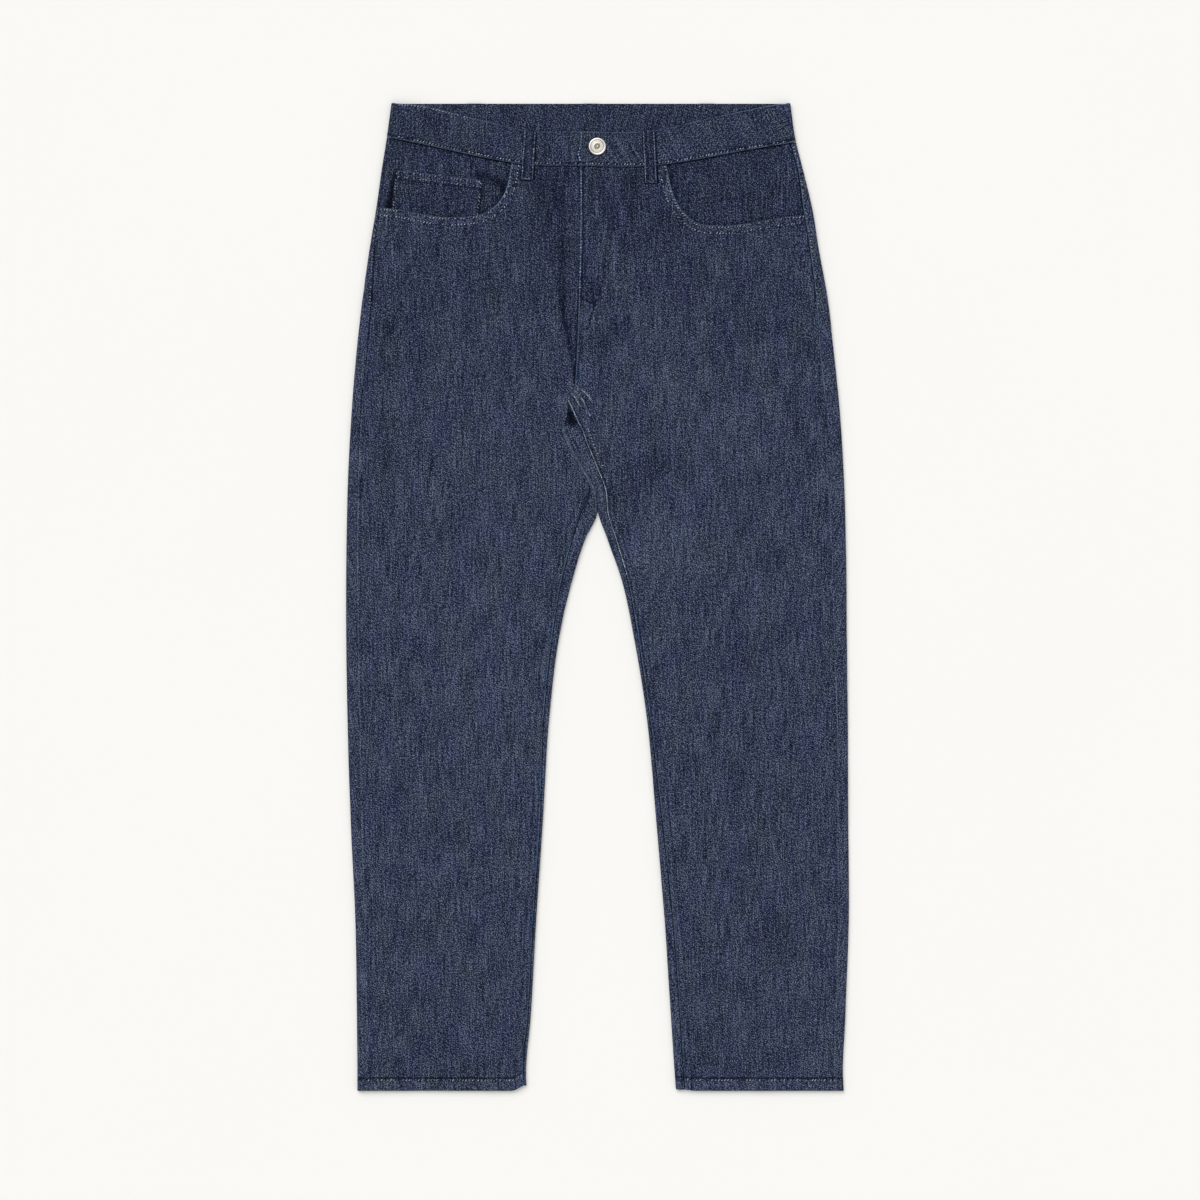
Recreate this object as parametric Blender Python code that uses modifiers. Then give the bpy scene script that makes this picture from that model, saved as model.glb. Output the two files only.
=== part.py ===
"""Tapered five-pocket jeans, laid flat on their back.

The frame is in metres: +Y runs up the jeans to the waist, +X to the wearer's left, +Z up from the
surface that they lie on. The origin is under the middle of the laid jeans. Sizes below are millimetres,
and "down" is the distance from the top edge of the back waistband towards the hems.

Each cloth piece is an open surface of the outer skin, thickened inwards. Front and back panels share one
flattened tube: a section of it has a flat underside, a flat top and a round fold at each side, and the
back panels wrap over those folds as far as the side seams and inseams, which show on the front.
"""

import math
from collections import namedtuple

import bpy
import numpy as np

MM = 0.001
LENGTH = 1047.3
SEAM = 0.3
HALF_SEAM = SEAM / 2

# Cloth, and the heights of the layers above the surface.
DENIM = 1.3
BAND_CLOTH = 1.8
POCKET_CLOTH = 1.0
LOOP_CLOTH = 1.0
HEM_CLOTH = 2.0
BAND_HEIGHT = 6.5
FACING_BASE = DENIM + SEAM
COIN_BASE = FACING_BASE + POCKET_CLOTH + SEAM

# Waistband: its top edge, and its lower edge across the back, which the sides rise or fall to.
BAND_TOP = 0.2
BAND_BACK_FOOT = 38.0
BAND_FOOT_RUN = 60.0
UNDERLAP_END = 16.5
BAND_DIP = 2.1
BAND_DIP_SPAN = (-36.0, -19.0)

# Hem: its depth, how far it stands over the leg, and how much each one turns up at the inseam.
HEM_DEPTH = 12.7
HEM_STAND = 0.6
HEM_RISE = {"right": 7.0, "left": 1.6}
HEM_RISE_SPAN = (0.92, 1.03)

# Belt loops. The waistband steps over each back loop, from its edge to the ramp's end.
LOOP_WIDTH = 12.5
LOOP_TURNED = 4.0
LOOP_TURNED_CLOTH = 1.8
LOOP_STEP = (67.5, 74.5)
BACK_LOOP_TOP = 2.0
BACK_LOOP_FOOT = 37.0
BACK_LOOP_RAMP = (7.5, 11.0)

BUTTON_RADIUS = 9.2
BUTTON_AT = (-0.2, 46.4)

# Back yokes and patch pockets. The back panel steps over its pocket, with a ramp above it and one below.
YOKE_SIDE_FOOT = 75.0
YOKE_CENTRE_FOOT = 108.0
YOKE_LEVEL = 40.0
BACK_POCKET_TOP = 150.0
BACK_POCKET_CORNER = 276.0
BACK_POCKET_POINT = 291.0
BACK_POCKET_SPAN = (0.125, 0.73)
BACK_POCKET_RAMPS = (141.0, 147.0, 294.0, 302.0)
UNDER_LIFT = 1.3

# Hip pockets' facings: clear of the side fold, and a hand's edge past the mouth.
FACING_INSET = 4.5
FACING_MARGIN = 9.0
FACING_TOP = 44.0
FACING_CLEAR = {"right": 1.5, "left": 4.8}
FACING_TOP_INSETS = (20.0, 8.0)

# The fly: how far the right front runs on under the left one, how it dips to do so, and where that ends.
FLY_LAP = 12.5
FLY_DIP = 1.8
FLY_DIP_START = 17.0
FLY_DIP_FULL = 1.0
FLY_LAP_FOOT = 197.0
FLY_FOOT = 206.0
FLY_DIP_GONE = 224.0

# Where the one tube of the hips becomes two legs, and where the crotch has closed round each leg.
CROTCH = 310.0
LEGS_START = 318.0
INSIDE_FOLD = 326.0
INSIDE_TOP = 334.0
INSIDE_CLOSED = 342.0
CROTCH_EASE = 1.3
CROTCH_EASED = 360.0

# Side folds: each edge's place from the centre line, and how far in from it the side seam shows.
Side = namedtuple("Side", "down right_edge right_inset left_edge left_inset")
SIDES = [
    Side(0, -218.5, 3.6, 204.5, 3.8),
    Side(36, -223.5, 3.6, 209.5, 6.0),
    Side(71, -229.0, 3.6, 218.0, 5.5),
    Side(110, -234.5, 3.8, 227.5, 9.5),
    Side(156, -242.0, 5.5, 235.0, 9.5),
    Side(209, -249.5, 10.0, 244.5, 12.5),
    Side(262, -255.5, 11.5, 250.5, 15.0),
    Side(315, -260.0, 10.0, 256.0, 15.0),
    Side(389, -264.3, 10.5, 261.0, 16.0),
    Side(463, -266.3, 11.0, 263.5, 14.5),
    Side(567, -266.6, 12.0, 264.5, 12.5),
    Side(652, -265.3, 12.5, 265.5, 10.5),
    Side(758, -262.0, 11.0, 266.0, 10.0),
    Side(864, -257.2, 9.5, 266.6, 10.0),
    Side(970, -255.3, 10.0, 263.0, 9.0),
    Side(1034, -254.9, 9.5, 260.5, 7.5),
    Side(1047.3, -254.9, 9.5, 261.3, 7.5),
]

# Centre seams of the hips. The front one is the edge of the fly.
Centre = namedtuple("Centre", "down front back")
CENTRES = [
    Centre(0, -18.5, -7.0),
    Centre(156, -18.5, -8.0),
    Centre(209, -20.0, -9.5),
    Centre(262, -22.0, -15.0),
    Centre(299, -24.5, -23.0),
    Centre(310, -26.5, -26.5),
]

# Inner folds of the legs, and how far in from them the inseams show on the front.
Inner = namedtuple("Inner", "down right_edge right_inset left_edge left_inset")
INNERS = [
    Inner(310, -27.0, 3.2, -26.7, 3.2),
    Inner(326, -32.3, 3.2, -32.0, 7.5),
    Inner(348, -34.3, 3.2, -34.0, 17.5),
    Inner(382, -17.8, 3.3, -17.5, 15.0),
    Inner(411, -2.3, 6.0, -2.0, 10.5),
    Inner(434, -0.2, 13.5, 0.6, 10.0),
    Inner(463, -13.3, 13.5, 10.7, 8.8),
    Inner(503, -26.0, 11.5, 24.9, 6.5),
    Inner(567, -40.8, 7.5, 38.7, 4.5),
    Inner(652, -51.2, 6.0, 52.2, 3.5),
    Inner(758, -57.8, 3.2, 62.0, 6.5),
    Inner(864, -64.9, 3.2, 70.8, 9.0),
    Inner(970, -71.0, 3.2, 77.9, 9.8),
    Inner(1034, -75.8, 3.2, 82.2, 9.8),
    Inner(1047.3, -75.0, 3.2, 83.2, 9.8),
]

# Height of the flattened tube.
Height = namedtuple("Height", "down height")
HEIGHTS = [Height(0, 5.6), Height(140, 5.6), Height(262, 4.9), Height(434, 4.6), Height(1048, 4.4)]

# Front edges of the waistband, from side to side.
Band = namedtuple("Band", "across top foot")
BAND = [
    Band(-224, 0.2, 36.0),
    Band(-192, 2.0, 42.4),
    Band(-150, 11.5, 51.5),
    Band(-110, 21.5, 60.0),
    Band(-79, 28.6, 65.0),
    Band(-20, 30.2, 66.6),
    Band(65, 28.6, 66.0),
    Band(105, 19.5, 60.0),
    Band(150, 9.5, 51.5),
    Band(189, 2.0, 45.0),
    Band(211, 0.2, 41.3),
]

# Places of the waistband's columns, from the fly out on each half of the front, and between the back loops.
BAND_RIGHT_COLUMNS = (UNDERLAP_END, 6, -5, -14, -19, -24, -30, -36, -50, -64, -79, -94, -110, -130, -150,
                      -171, -192, -207)
BAND_LEFT_COLUMNS = (196, 189, 170, 150, 127, 105, 92, 78, 65, 50, 30, 10, -5)
BAND_BACK_COLUMNS = (-190, -165, -95, -55, 45, 85, 155, 185)

# Belt loops: the middle of each back one, and the ends of each front one.
BACK_LOOPS = {"loop_back_right": -130.0, "loop_back_centre": -7.0, "loop_back_left": 116.0}
Loop = namedtuple("Loop", "top_across top foot_across foot")
FRONT_LOOPS = {
    "loop_front_right": Loop(-71.6, 29.5, -74.7, 82.0),
    "loop_front_left": Loop(54.0, 29.3, 56.7, 85.0),
}

# Scooped mouths of the hip pockets, from the waistband out to the side seam.
Mouth = namedtuple("Mouth", "across down")
RIGHT_MOUTH = [
    Mouth(-91, 64), Mouth(-97, 92), Mouth(-110, 110.5), Mouth(-130, 119.5), Mouth(-167, 120.6),
    Mouth(-208, 113.5), Mouth(-236, 110),
]
LEFT_MOUTH = [
    Mouth(72.5, 64), Mouth(80, 95.5), Mouth(91, 115.5), Mouth(108, 128), Mouth(130, 130.2),
    Mouth(154, 128.4), Mouth(189, 122.4), Mouth(222, 118.5),
]

# A mouth's row with its number, for a smooth curve through the rows.
NumberedPoint = namedtuple("NumberedPoint", "number across down")

# The cutter that takes off all above a front's waist seam: past the fly, the mouth's corner, side and top.
CUT_FLY_SIDE = {"right": 10.0, "left": -40.0}
CUT_CORNER = 4.0
CUT_PAST_SIDE = 30.0
CUT_PAST_TOP = 20.0
CUT_HEIGHTS = (-2.0, 12.0)

# Corners of the coin pocket, from its top at the side seam. Its foot runs on under the pocket mouth.
Corner = namedtuple("Corner", "across down")
COIN_POCKET = [
    Corner(-214.5, 70.8), Corner(-121.8, 82.0), Corner(-126.0, 123.5), Corner(-168.0, 126.0),
    Corner(-206.0, 119.0), Corner(-219.0, 114.0),
]

# The button's turned face and back, from its middle: a small boss, a shallow dish and a bead round the rim.
Turn = namedtuple("Turn", "radius height")
BUTTON = [
    Turn(0.0, 1.9), Turn(1.6, 1.8), Turn(2.3, 1.3), Turn(BUTTON_RADIUS - 2.6, 1.4),
    Turn(BUTTON_RADIUS - 1.9, 2.0), Turn(BUTTON_RADIUS - 1.0, 2.2), Turn(BUTTON_RADIUS - 0.2, 1.7),
    Turn(BUTTON_RADIUS, 1.0), Turn(BUTTON_RADIUS - 0.5, 0.3), Turn(BUTTON_RADIUS - 1.5, 0.0),
    Turn(0.0, 0.0),
]

# Soft folds of the fronts: a ridge, or a trough where the rise is negative, along a straight line.
Fold = namedtuple("Fold", "across_a down_a across_b down_b half_width rise")
FOLDS = [
    Fold(-35.5, 100, -35.5, 238, 5, -0.7),   # beside the fly
    Fold(-35.5, 238, -25, 296, 5, -0.6),     # on down to the crotch
    Fold(-21, 305, -21, 306, 10, 1.4),       # the gathered crotch seam
    Fold(20, 428, 104, 336, 13, -0.9),       # crease up from the crotch
    Fold(38, 448, 116, 372, 15, 0.5),        # swell under it
    Fold(76, 128, 108, 229, 13, -0.7),       # fall from the left pocket
    Fold(-60, 440, -150, 372, 16, -0.4),     # fall across the right thigh
]

# How the surface is divided: shares of the width across each panel, and distances in from the fly edge.
BACK_SHARES = (0.08, 0.105, 0.25, 0.42, 0.60, 0.75, 0.78, 0.90)
FRONT_SHARES = (0.0, 0.05, 0.16, 0.30, 0.45, 0.60, 0.74, 0.88)
FRONT_EDGE_STEPS = (34.0, 26.0, 19.0, 12.5, 6.0, 0.0)
HIP_DOWNS = (128.0, *BACK_POCKET_RAMPS[:2], 185.0, FLY_FOOT, 222.0, 250.0, 278.0,
             *BACK_POCKET_RAMPS[2:], CROTCH)
CROTCH_DOWNS = (LEGS_START, INSIDE_FOLD, INSIDE_TOP, INSIDE_CLOSED)
LEG_DOWNS = (352.0, 366.0, 384.0, 400.0, 414.0, 434.0, 460.0, 503.0, 567.0, 652.0, 758.0, 864.0, 970.0)
FRONT_TOP_DOWNS = (26.0, 50.0, 75.0, 100.0, 128.0, 147.0, 185.0, FLY_LAP_FOOT, FLY_FOOT, 222.0, 250.0)
FRONT_CROTCH_DOWNS = (278.0, 294.0, 302.0, CROTCH)
HEM_STEPS = (HEM_DEPTH + 1.0, HEM_DEPTH, 0.0)
IN_HEM = (0.0, 1.0, 1.0)  # which of the hem's rows have its thickness
WRAP_COLUMNS = 5
CROWD = 0.8  # the least distance between two columns where a wrap is only beginning
TOP_SKIN = 0.95  # the share of the tube's height above which the back panel lies on top

INDIGO = (0.036, 0.048, 0.085, 1.0)
DARK_INDIGO = (0.028, 0.037, 0.068, 1.0)
BAND_INDIGO = (0.033, 0.046, 0.079, 1.0)
NICKEL = (0.62, 0.60, 0.56, 1.0)


def smooth(rows, name, at):
    """A column of a table at any place, by cubic pieces whose slope at a row is that across its neighbours."""
    x = np.array([row[0] for row in rows], float)
    y = np.array([getattr(row, name) for row in rows], float)
    slope = np.gradient(y, x)
    at = np.clip(np.asarray(at, float), x[0], x[-1])
    i = np.clip(np.searchsorted(x, at) - 1, 0, len(x) - 2)
    step = x[i + 1] - x[i]
    t = (at - x[i]) / step
    return (
        (1 + 2 * t) * (1 - t) ** 2 * y[i]
        + t * (1 - t) ** 2 * step * slope[i]
        + t * t * (3 - 2 * t) * y[i + 1]
        - t * t * (1 - t) * step * slope[i + 1]
    )


def ease(value, start, end):
    """0 before start, 1 after end, and a smooth rise between."""
    t = np.clip((value - start) / (end - start), 0, 1)
    return t * t * (3 - 2 * t)


def relief(across, down):
    """Rise of the top surface: each fold falls off as a bell with the distance from its line."""
    rise = np.zeros(np.broadcast(across, down).shape)
    for fold in FOLDS:
        run, drop = fold.across_b - fold.across_a, fold.down_b - fold.down_a
        share = ((across - fold.across_a) * run + (down - fold.down_a) * drop) / (run**2 + drop**2)
        share = np.clip(share, 0, 1)
        gap = np.hypot(across - fold.across_a - share * run, down - fold.down_a - share * drop)
        rise = rise + fold.rise * np.exp(-((gap / fold.half_width) ** 2))
    return rise


def hem_line(leg, share):
    """Down of the hem: it turns up at the inseam, more on the right leg than on the left."""
    return LENGTH - HEM_RISE[leg] * ease(share, *HEM_RISE_SPAN)


def tube_height(down):
    return smooth(HEIGHTS, "height", down)


def round_fold(edge, inward, radius, along):
    """A flattened tube's skin near a fold: (across, up) at a distance along it from the outermost point.

    Distances over the top are positive and under the tube negative. Within a quarter turn the skin is a
    half circle of the radius, and past it the skin runs straight inwards.
    """
    quarter = 0.5 * math.pi * radius
    turn = np.clip(along, -quarter, quarter) / radius
    run = np.maximum(np.abs(along) - quarter, 0)
    across = edge + inward * (radius - radius * np.cos(turn) + run)
    return across, radius + radius * np.sin(turn) + np.zeros_like(across)


def wrap_stops(radius, end):
    """Distances along a fold for the WRAP_COLUMNS columns of a wrap, from its end down to the underside."""
    quarter = 0.5 * math.pi * radius
    targets = (end, quarter, quarter / 3, -quarter / 3, -quarter)
    return [np.minimum(target, end - CROWD * number) for number, target in enumerate(targets)]


def new_material(name, colour, roughness, metallic=0.0):
    material = bpy.data.materials.new(name)
    material.use_nodes = True
    shader = material.node_tree.nodes["Principled BSDF"]
    shader.inputs["Base Color"].default_value = colour
    shader.inputs["Roughness"].default_value = roughness
    shader.inputs["Metallic"].default_value = metallic
    return material


def link(obj, material, collection):
    obj.data.materials.append(material)
    collection.objects.link(obj)
    return obj


def cloth(name, across, down, up, thickness, material):
    """A wall of cloth: a grid of the outer skin, facing out, with its thickness at each point set inwards."""
    points = np.stack([across, LENGTH / 2 - down, up], axis=-1) * MM
    rows, columns = across.shape
    first = (np.arange(rows - 1)[:, None] * columns + np.arange(columns - 1)).ravel()
    faces = np.stack([first, first + 1, first + columns + 1, first + columns], axis=1)
    mesh = bpy.data.meshes.new(name)
    mesh.from_pydata(points.reshape(-1, 3).tolist(), [], faces.tolist())
    mesh.shade_smooth()
    obj = link(bpy.data.objects.new(name, mesh), material, GARMENT)
    thickness = np.broadcast_to(thickness, across.shape).ravel()
    group = obj.vertex_groups.new(name="thickness")
    for index, share in enumerate(thickness / thickness.max()):
        group.add([index], float(share), "REPLACE")
    wall = obj.modifiers.new("Wall", "SOLIDIFY")
    wall.thickness = float(thickness.max()) * MM
    wall.offset = -1
    wall.use_even_offset = True
    wall.vertex_group = group.name
    wall.thickness_vertex_group = 0.0
    return obj


def outline(name, points, low, high, material, collection):
    """A flat plate with vertical sides, from (across, down) points and the heights of its faces."""
    curve = bpy.data.curves.new(name, "CURVE")
    curve.dimensions = "2D"
    curve.fill_mode = "BOTH"
    curve.extrude = (high - low) / 2 * MM
    spline = curve.splines.new("POLY")
    spline.points.add(len(points) - 1)
    for point, (across, down) in zip(spline.points, points):
        point.co = (across * MM, (LENGTH / 2 - down) * MM, 0, 1)
    spline.use_cyclic_u = True
    obj = link(bpy.data.objects.new(name, curve), material, collection)
    obj.location.z = (low + high) / 2 * MM
    return obj


def as_cutter(obj):
    """The same shape as a welded mesh, for a Boolean."""
    bpy.context.view_layer.update()
    graph = bpy.context.evaluated_depsgraph_get()
    mesh = bpy.data.meshes.new_from_object(obj.evaluated_get(graph))
    cutter = bpy.data.objects.new(obj.name + "_cutter", mesh)
    cutter.matrix_world = obj.matrix_world
    bpy.data.objects.remove(obj)
    weld = cutter.modifiers.new("Weld", "WELD")
    weld.merge_threshold = 0.0001 * MM
    CUTTERS.objects.link(cutter)
    cutter.hide_render = True
    cutter.display_type = "WIRE"
    return cutter


def side(which, down):
    """(edge, inset, inward) of the side fold of one half."""
    inward = 1 if which == "right" else -1
    return smooth(SIDES, which + "_edge", down), smooth(SIDES, which + "_inset", down), inward


def inner(which, down):
    """(edge, inset, inward) of a leg's inner fold."""
    inward = -1 if which == "right" else 1
    return smooth(INNERS, which + "_edge", down), smooth(INNERS, which + "_inset", down), inward


def inner_wrap(which, down):
    """(edge, end, inward) of the inner end of a back panel: the centre seam in the hips, then the wrap.

    Above the crotch the panel ends on the underside at the centre back. Below it the end travels round
    the leg's inner fold, from under it to the inseam on top.
    """
    radius = tube_height(down) / 2
    quarter = 0.5 * math.pi * radius
    edge, inset, inward = inner(which, down)
    centre = smooth(CENTRES, "back", down) + inward * (HALF_SEAM - radius)
    end = np.interp(down, [LEGS_START, INSIDE_FOLD, INSIDE_TOP], [-1.0, 0.0, 1.0]) * quarter
    strip = np.interp(down, [INSIDE_FOLD, INSIDE_CLOSED], [0.0, 1.0]) * (inset - radius - HALF_SEAM)
    in_hips = down <= CROTCH
    return np.where(in_hips, centre, edge), np.where(in_hips, -quarter, end + strip), inward


def back_section(which, downs, hems):
    """(across, up) of a back panel on level rows, with columns from its inner end to its side seam."""
    radius = tube_height(downs) / 2
    edge, end, inward = inner_wrap(which, downs)
    inner_stops = [round_fold(edge, inward, radius, stop) for stop in wrap_stops(radius, end)]
    edge, inset, inward = side(which, downs)
    end = 0.5 * math.pi * radius + inset - radius - HALF_SEAM
    outer_stops = [round_fold(edge, inward, radius, stop) for stop in wrap_stops(radius, end)][::-1]
    start, stop = inner_stops[-1][0], outer_stops[0][0]
    under = [(start + (stop - start) * share, np.zeros_like(start)) for share in BACK_SHARES]
    columns = inner_stops + under + outer_stops
    across = np.stack([column[0] for column in columns], axis=1)
    up = np.stack([column[1] for column in columns], axis=1)
    return across, up + hems[:, None] * HEM_STAND * (up / (2 * radius[:, None]))


def back_surface(which, downs, hems):
    """(across, up) of a back panel whose columns each have their own downs."""
    across, up = np.zeros_like(downs), np.zeros_like(downs)
    for column in range(downs.shape[1]):
        level_across, level_up = back_section(which, downs[:, column], hems)
        across[:, column], up[:, column] = level_across[:, column], level_up[:, column]
    return across, up


def back_shares():
    """Share of the width, from the centre to the side seam, at each column of the back."""
    return np.array([0.0] * WRAP_COLUMNS + list(BACK_SHARES) + [1.0] * WRAP_COLUMNS)


def facing_out(which, *grids):
    """The right half's columns run the other way round, so that the skin faces out on both halves."""
    return [grid[:, ::-1] if which == "right" else grid for grid in grids]


def pocket_lift(across_share, down):
    """Rise of the back panel over its patch pocket: 1 over the pocket and a margin, 0 away from it."""
    stops = [BACK_SHARES[0], BACK_SHARES[1], BACK_SHARES[5], BACK_SHARES[6]]
    sides = np.interp(across_share, stops, [0, 1, 1, 0])
    ends = np.interp(down, BACK_POCKET_RAMPS, [0, 1, 1, 0])
    return sides * ends


def yoke_foot(which, across, up, down):
    """Down of the yoke seam: a V that is deepest at the centre back and level round the side."""
    edge = smooth(SIDES, which + "_edge", down)
    centre = smooth(CENTRES, "back", down)
    share = np.clip((across - centre) / (edge - centre), 0, 1)
    depth = np.where(up > 0, 0.0, 1.0 - share)
    return YOKE_SIDE_FOOT + (YOKE_CENTRE_FOOT - YOKE_SIDE_FOOT) * depth


def yoke_line(which):
    """Down of the yoke seam at each column of the back."""
    level = np.full((1, len(back_shares())), YOKE_SIDE_FOOT)
    across, up = back_surface(which, level, np.zeros(1))
    return yoke_foot(which, across, up, level)[0]


def band_foot_under(across, up, down):
    """Down of the waistband's lower edge round the side and across the back."""
    front = smooth(BAND, "foot", across)
    edge = np.where(across < 0, smooth(SIDES, "right_edge", down), smooth(SIDES, "left_edge", down))
    share = np.clip(np.abs(across - edge) / BAND_FOOT_RUN, 0, 1)
    sides = np.where(across < 0, BAND[0].foot, BAND[-1].foot)
    return np.where(up > 0, np.minimum(front, sides + 2.0), sides + (BAND_BACK_FOOT - sides) * share)


def make_yoke(which, material):
    foot = yoke_line(which)
    level = np.full((1, len(foot)), YOKE_LEVEL)
    across, up = back_surface(which, level, np.zeros(1))
    head = band_foot_under(across, up, level)[0] + 2 * SEAM
    share = np.array([0.0, 0.5, 1.0])
    downs = head + (foot - HALF_SEAM - head) * share[:, None]
    across, up = back_surface(which, downs, np.zeros(len(share)))
    cloth("yoke_" + which, *facing_out(which, across, downs, up), DENIM, material)


def hem_share(which, across):
    """Share across a leg's hem, from the side seam to the front's inner edge."""
    edge, inset, inward = side(which, LENGTH)
    start, end = edge + inward * (inset + HALF_SEAM), front_end(which, LENGTH)
    return np.clip((across - start) / (end - start), 0, 1)


def make_back(which, material):
    rows = np.array(HIP_DOWNS + CROTCH_DOWNS + LEG_DOWNS)
    shares = back_shares()
    body = np.repeat(rows[:, None], len(shares), axis=1)
    hem_across, _ = back_surface(which, np.full((1, len(shares)), LENGTH), np.ones(1))
    hem = hem_line(which, hem_share(which, hem_across)) - np.array(HEM_STEPS)[:, None]
    downs = np.vstack([yoke_line(which)[None, :] + HALF_SEAM, body, hem])
    hems = np.concatenate([np.zeros(1 + len(rows)), IN_HEM])
    across, up = back_surface(which, downs, hems)
    up = up + UNDER_LIFT * pocket_lift(shares[None, :], downs)
    up = up + np.where(up > tube_height(downs) * TOP_SKIN, relief(across, downs), 0.0)
    thickness = DENIM + (HEM_CLOTH - DENIM) * hems[:, None] * np.ones(len(shares))
    cloth("back_" + which, *facing_out(which, across, downs, up, thickness), material)


def front_end(which, down):
    """Across of a front's inner edge: fly edge or lap, centre seam, then the inseam."""
    edge, inset, inward = inner(which, down)
    centre = smooth(CENTRES, "front", down)
    lap = np.interp(down, [FLY_LAP_FOOT, FLY_FOOT], [FLY_LAP, -SEAM]) if which == "right" else HALF_SEAM
    ease_off = CROTCH_EASE * np.interp(down, [CROTCH, LEGS_START, INSIDE_CLOSED, CROTCH_EASED], [0, 1, 1, 0])
    return np.where(down <= CROTCH, centre + lap, edge + inward * (inset + HALF_SEAM + ease_off))


def fly_dip(across, down):
    """Fall of the right front to pass under the left one at the fly."""
    centre = smooth(CENTRES, "front", down)
    passing = ease(across, centre - FLY_DIP_START, centre - FLY_DIP_FULL)
    return FLY_DIP * passing * (1 - ease(down, FLY_FOOT, FLY_DIP_GONE))


def make_front(which, material):
    rows = np.array(FRONT_TOP_DOWNS + FRONT_CROTCH_DOWNS + CROTCH_DOWNS + LEG_DOWNS)
    shares = np.array(FRONT_SHARES)
    columns = len(shares) + len(FRONT_EDGE_STEPS)
    body = np.repeat(rows[:, None], columns, axis=1)
    share_across = np.concatenate([shares, np.linspace(0.9, 1.0, len(FRONT_EDGE_STEPS))])
    hem = hem_line(which, share_across) - np.array(HEM_STEPS)[:, None]
    downs = np.vstack([body, hem])
    hems = np.concatenate([np.zeros(len(rows)), IN_HEM])[:, None]
    edge, inset, inward = side(which, downs)
    start = edge + inward * (inset + HALF_SEAM)
    end = front_end(which, downs)
    steps = np.array(FRONT_EDGE_STEPS)
    across = np.empty_like(downs)
    across[:, len(shares):] = end[:, len(shares):] - inward * steps
    near_end = end[:, : len(shares)] - inward * steps[0]
    across[:, : len(shares)] = start[:, : len(shares)] + (near_end - start[:, : len(shares)]) * shares
    up = tube_height(downs) + HEM_STAND * hems + relief(across, downs)
    if which == "right":
        up = up - fly_dip(across, downs)
    thickness = DENIM + (HEM_CLOTH - DENIM) * hems * np.ones(columns)
    front = cloth("front_" + which, *facing_out(which, across, downs, up, thickness), material)
    cut = front.modifiers.new("Waist and pocket mouth", "BOOLEAN")
    cut.operation = "DIFFERENCE"
    cut.solver = "EXACT"
    cut.object = as_cutter(waist_cut(which, material))


def mouth_line(which, steps=16):
    """Points of a pocket mouth on a smooth curve through its table, at even shares of its rows."""
    rows = RIGHT_MOUTH if which == "right" else LEFT_MOUTH
    numbered = [NumberedPoint(number, *row) for number, row in enumerate(rows)]
    at = np.linspace(0, len(rows) - 1, steps + 1)
    return list(zip(smooth(numbered, "across", at), smooth(numbered, "down", at)))


def waist_cut(which, material):
    """Outline of what comes off a front: all above the waist seam, and the pocket mouth."""
    inward = 1 if which == "right" else -1
    mouth = mouth_line(which)
    across = np.linspace(CUT_FLY_SIDE[which], mouth[0][0] + inward * CUT_CORNER, 12)
    seam = list(zip(across, smooth(BAND, "foot", across) + SEAM))
    outside = mouth[-1][0] - inward * CUT_PAST_SIDE
    corners = [(outside, mouth[-1][1]), (outside, -CUT_PAST_TOP), (across[0], -CUT_PAST_TOP)]
    points = seam + mouth[1:] + corners
    return outline("waist_" + which, points, *CUT_HEIGHTS, material, CUTTERS)


def make_band(material):
    """The waistband: from the underlap at the fly, right side, back, left side, to the lap over it."""
    lap_edge = CENTRES[0].front + HALF_SEAM
    left_columns = (*BAND_LEFT_COLUMNS, lap_edge)
    radius = BAND_HEIGHT / 2
    quarter = 0.5 * math.pi * radius
    turns = np.array([quarter, quarter / 3, -quarter / 3, -quarter])
    ramps = [-BACK_LOOP_RAMP[1], -BACK_LOOP_RAMP[0], BACK_LOOP_RAMP[0], BACK_LOOP_RAMP[1]]
    under = sorted([c + ramp for c in BACK_LOOPS.values() for ramp in ramps] + list(BAND_BACK_COLUMNS))
    shares = np.array([0.0, 0.5, 1.0])[:, None]
    fronts = []
    for places, which in ((BAND_RIGHT_COLUMNS, "right"), (left_columns, "left")):
        x = np.array(places, float)[None, :]
        down = smooth(BAND, "top", x) + (smooth(BAND, "foot", x) - smooth(BAND, "top", x)) * shares
        up = np.full_like(down, BAND_HEIGHT)
        if which == "right":
            up = up - BAND_DIP * ease(x, *BAND_DIP_SPAN)
        fronts.append((np.broadcast_to(x, down.shape), down, up))
    folds = []
    for which in ("right", "left"):
        foot = BAND[0].foot if which == "right" else BAND[-1].foot
        down = (BAND_TOP + (foot - BAND_TOP) * shares) * np.ones(len(turns))
        edge, _, inward = side(which, down)
        across, up = round_fold(edge, inward, radius, turns[None, :])
        folds.append((across, down, up))
    x = np.array(under, float)[None, :]
    foot = band_foot_under(x, np.zeros_like(x), np.full_like(x, BAND_BACK_FOOT))
    down = BAND_TOP + (foot - BAND_TOP) * shares
    lift = loop_lift(x) * np.ones_like(down)
    back = (np.broadcast_to(x, down.shape), down, UNDER_LIFT * lift)
    reverse = [grid[:, ::-1] for grid in folds[1]]
    sections = [fronts[0], folds[0], back, reverse, fronts[1]]
    across, down, up = (np.concatenate([section[k] for section in sections], axis=1) for k in range(3))
    before, after = len(BAND_RIGHT_COLUMNS) + len(turns), len(turns) + len(left_columns)
    thin = np.concatenate([np.zeros(before), loop_lift(x[0]), np.zeros(after)])
    thickness = BAND_CLOTH - (BAND_CLOTH - LOOP_CLOTH) * thin[None, :] * np.ones((len(shares), 1))
    cloth("waistband", across, down, up, thickness, material)


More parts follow.
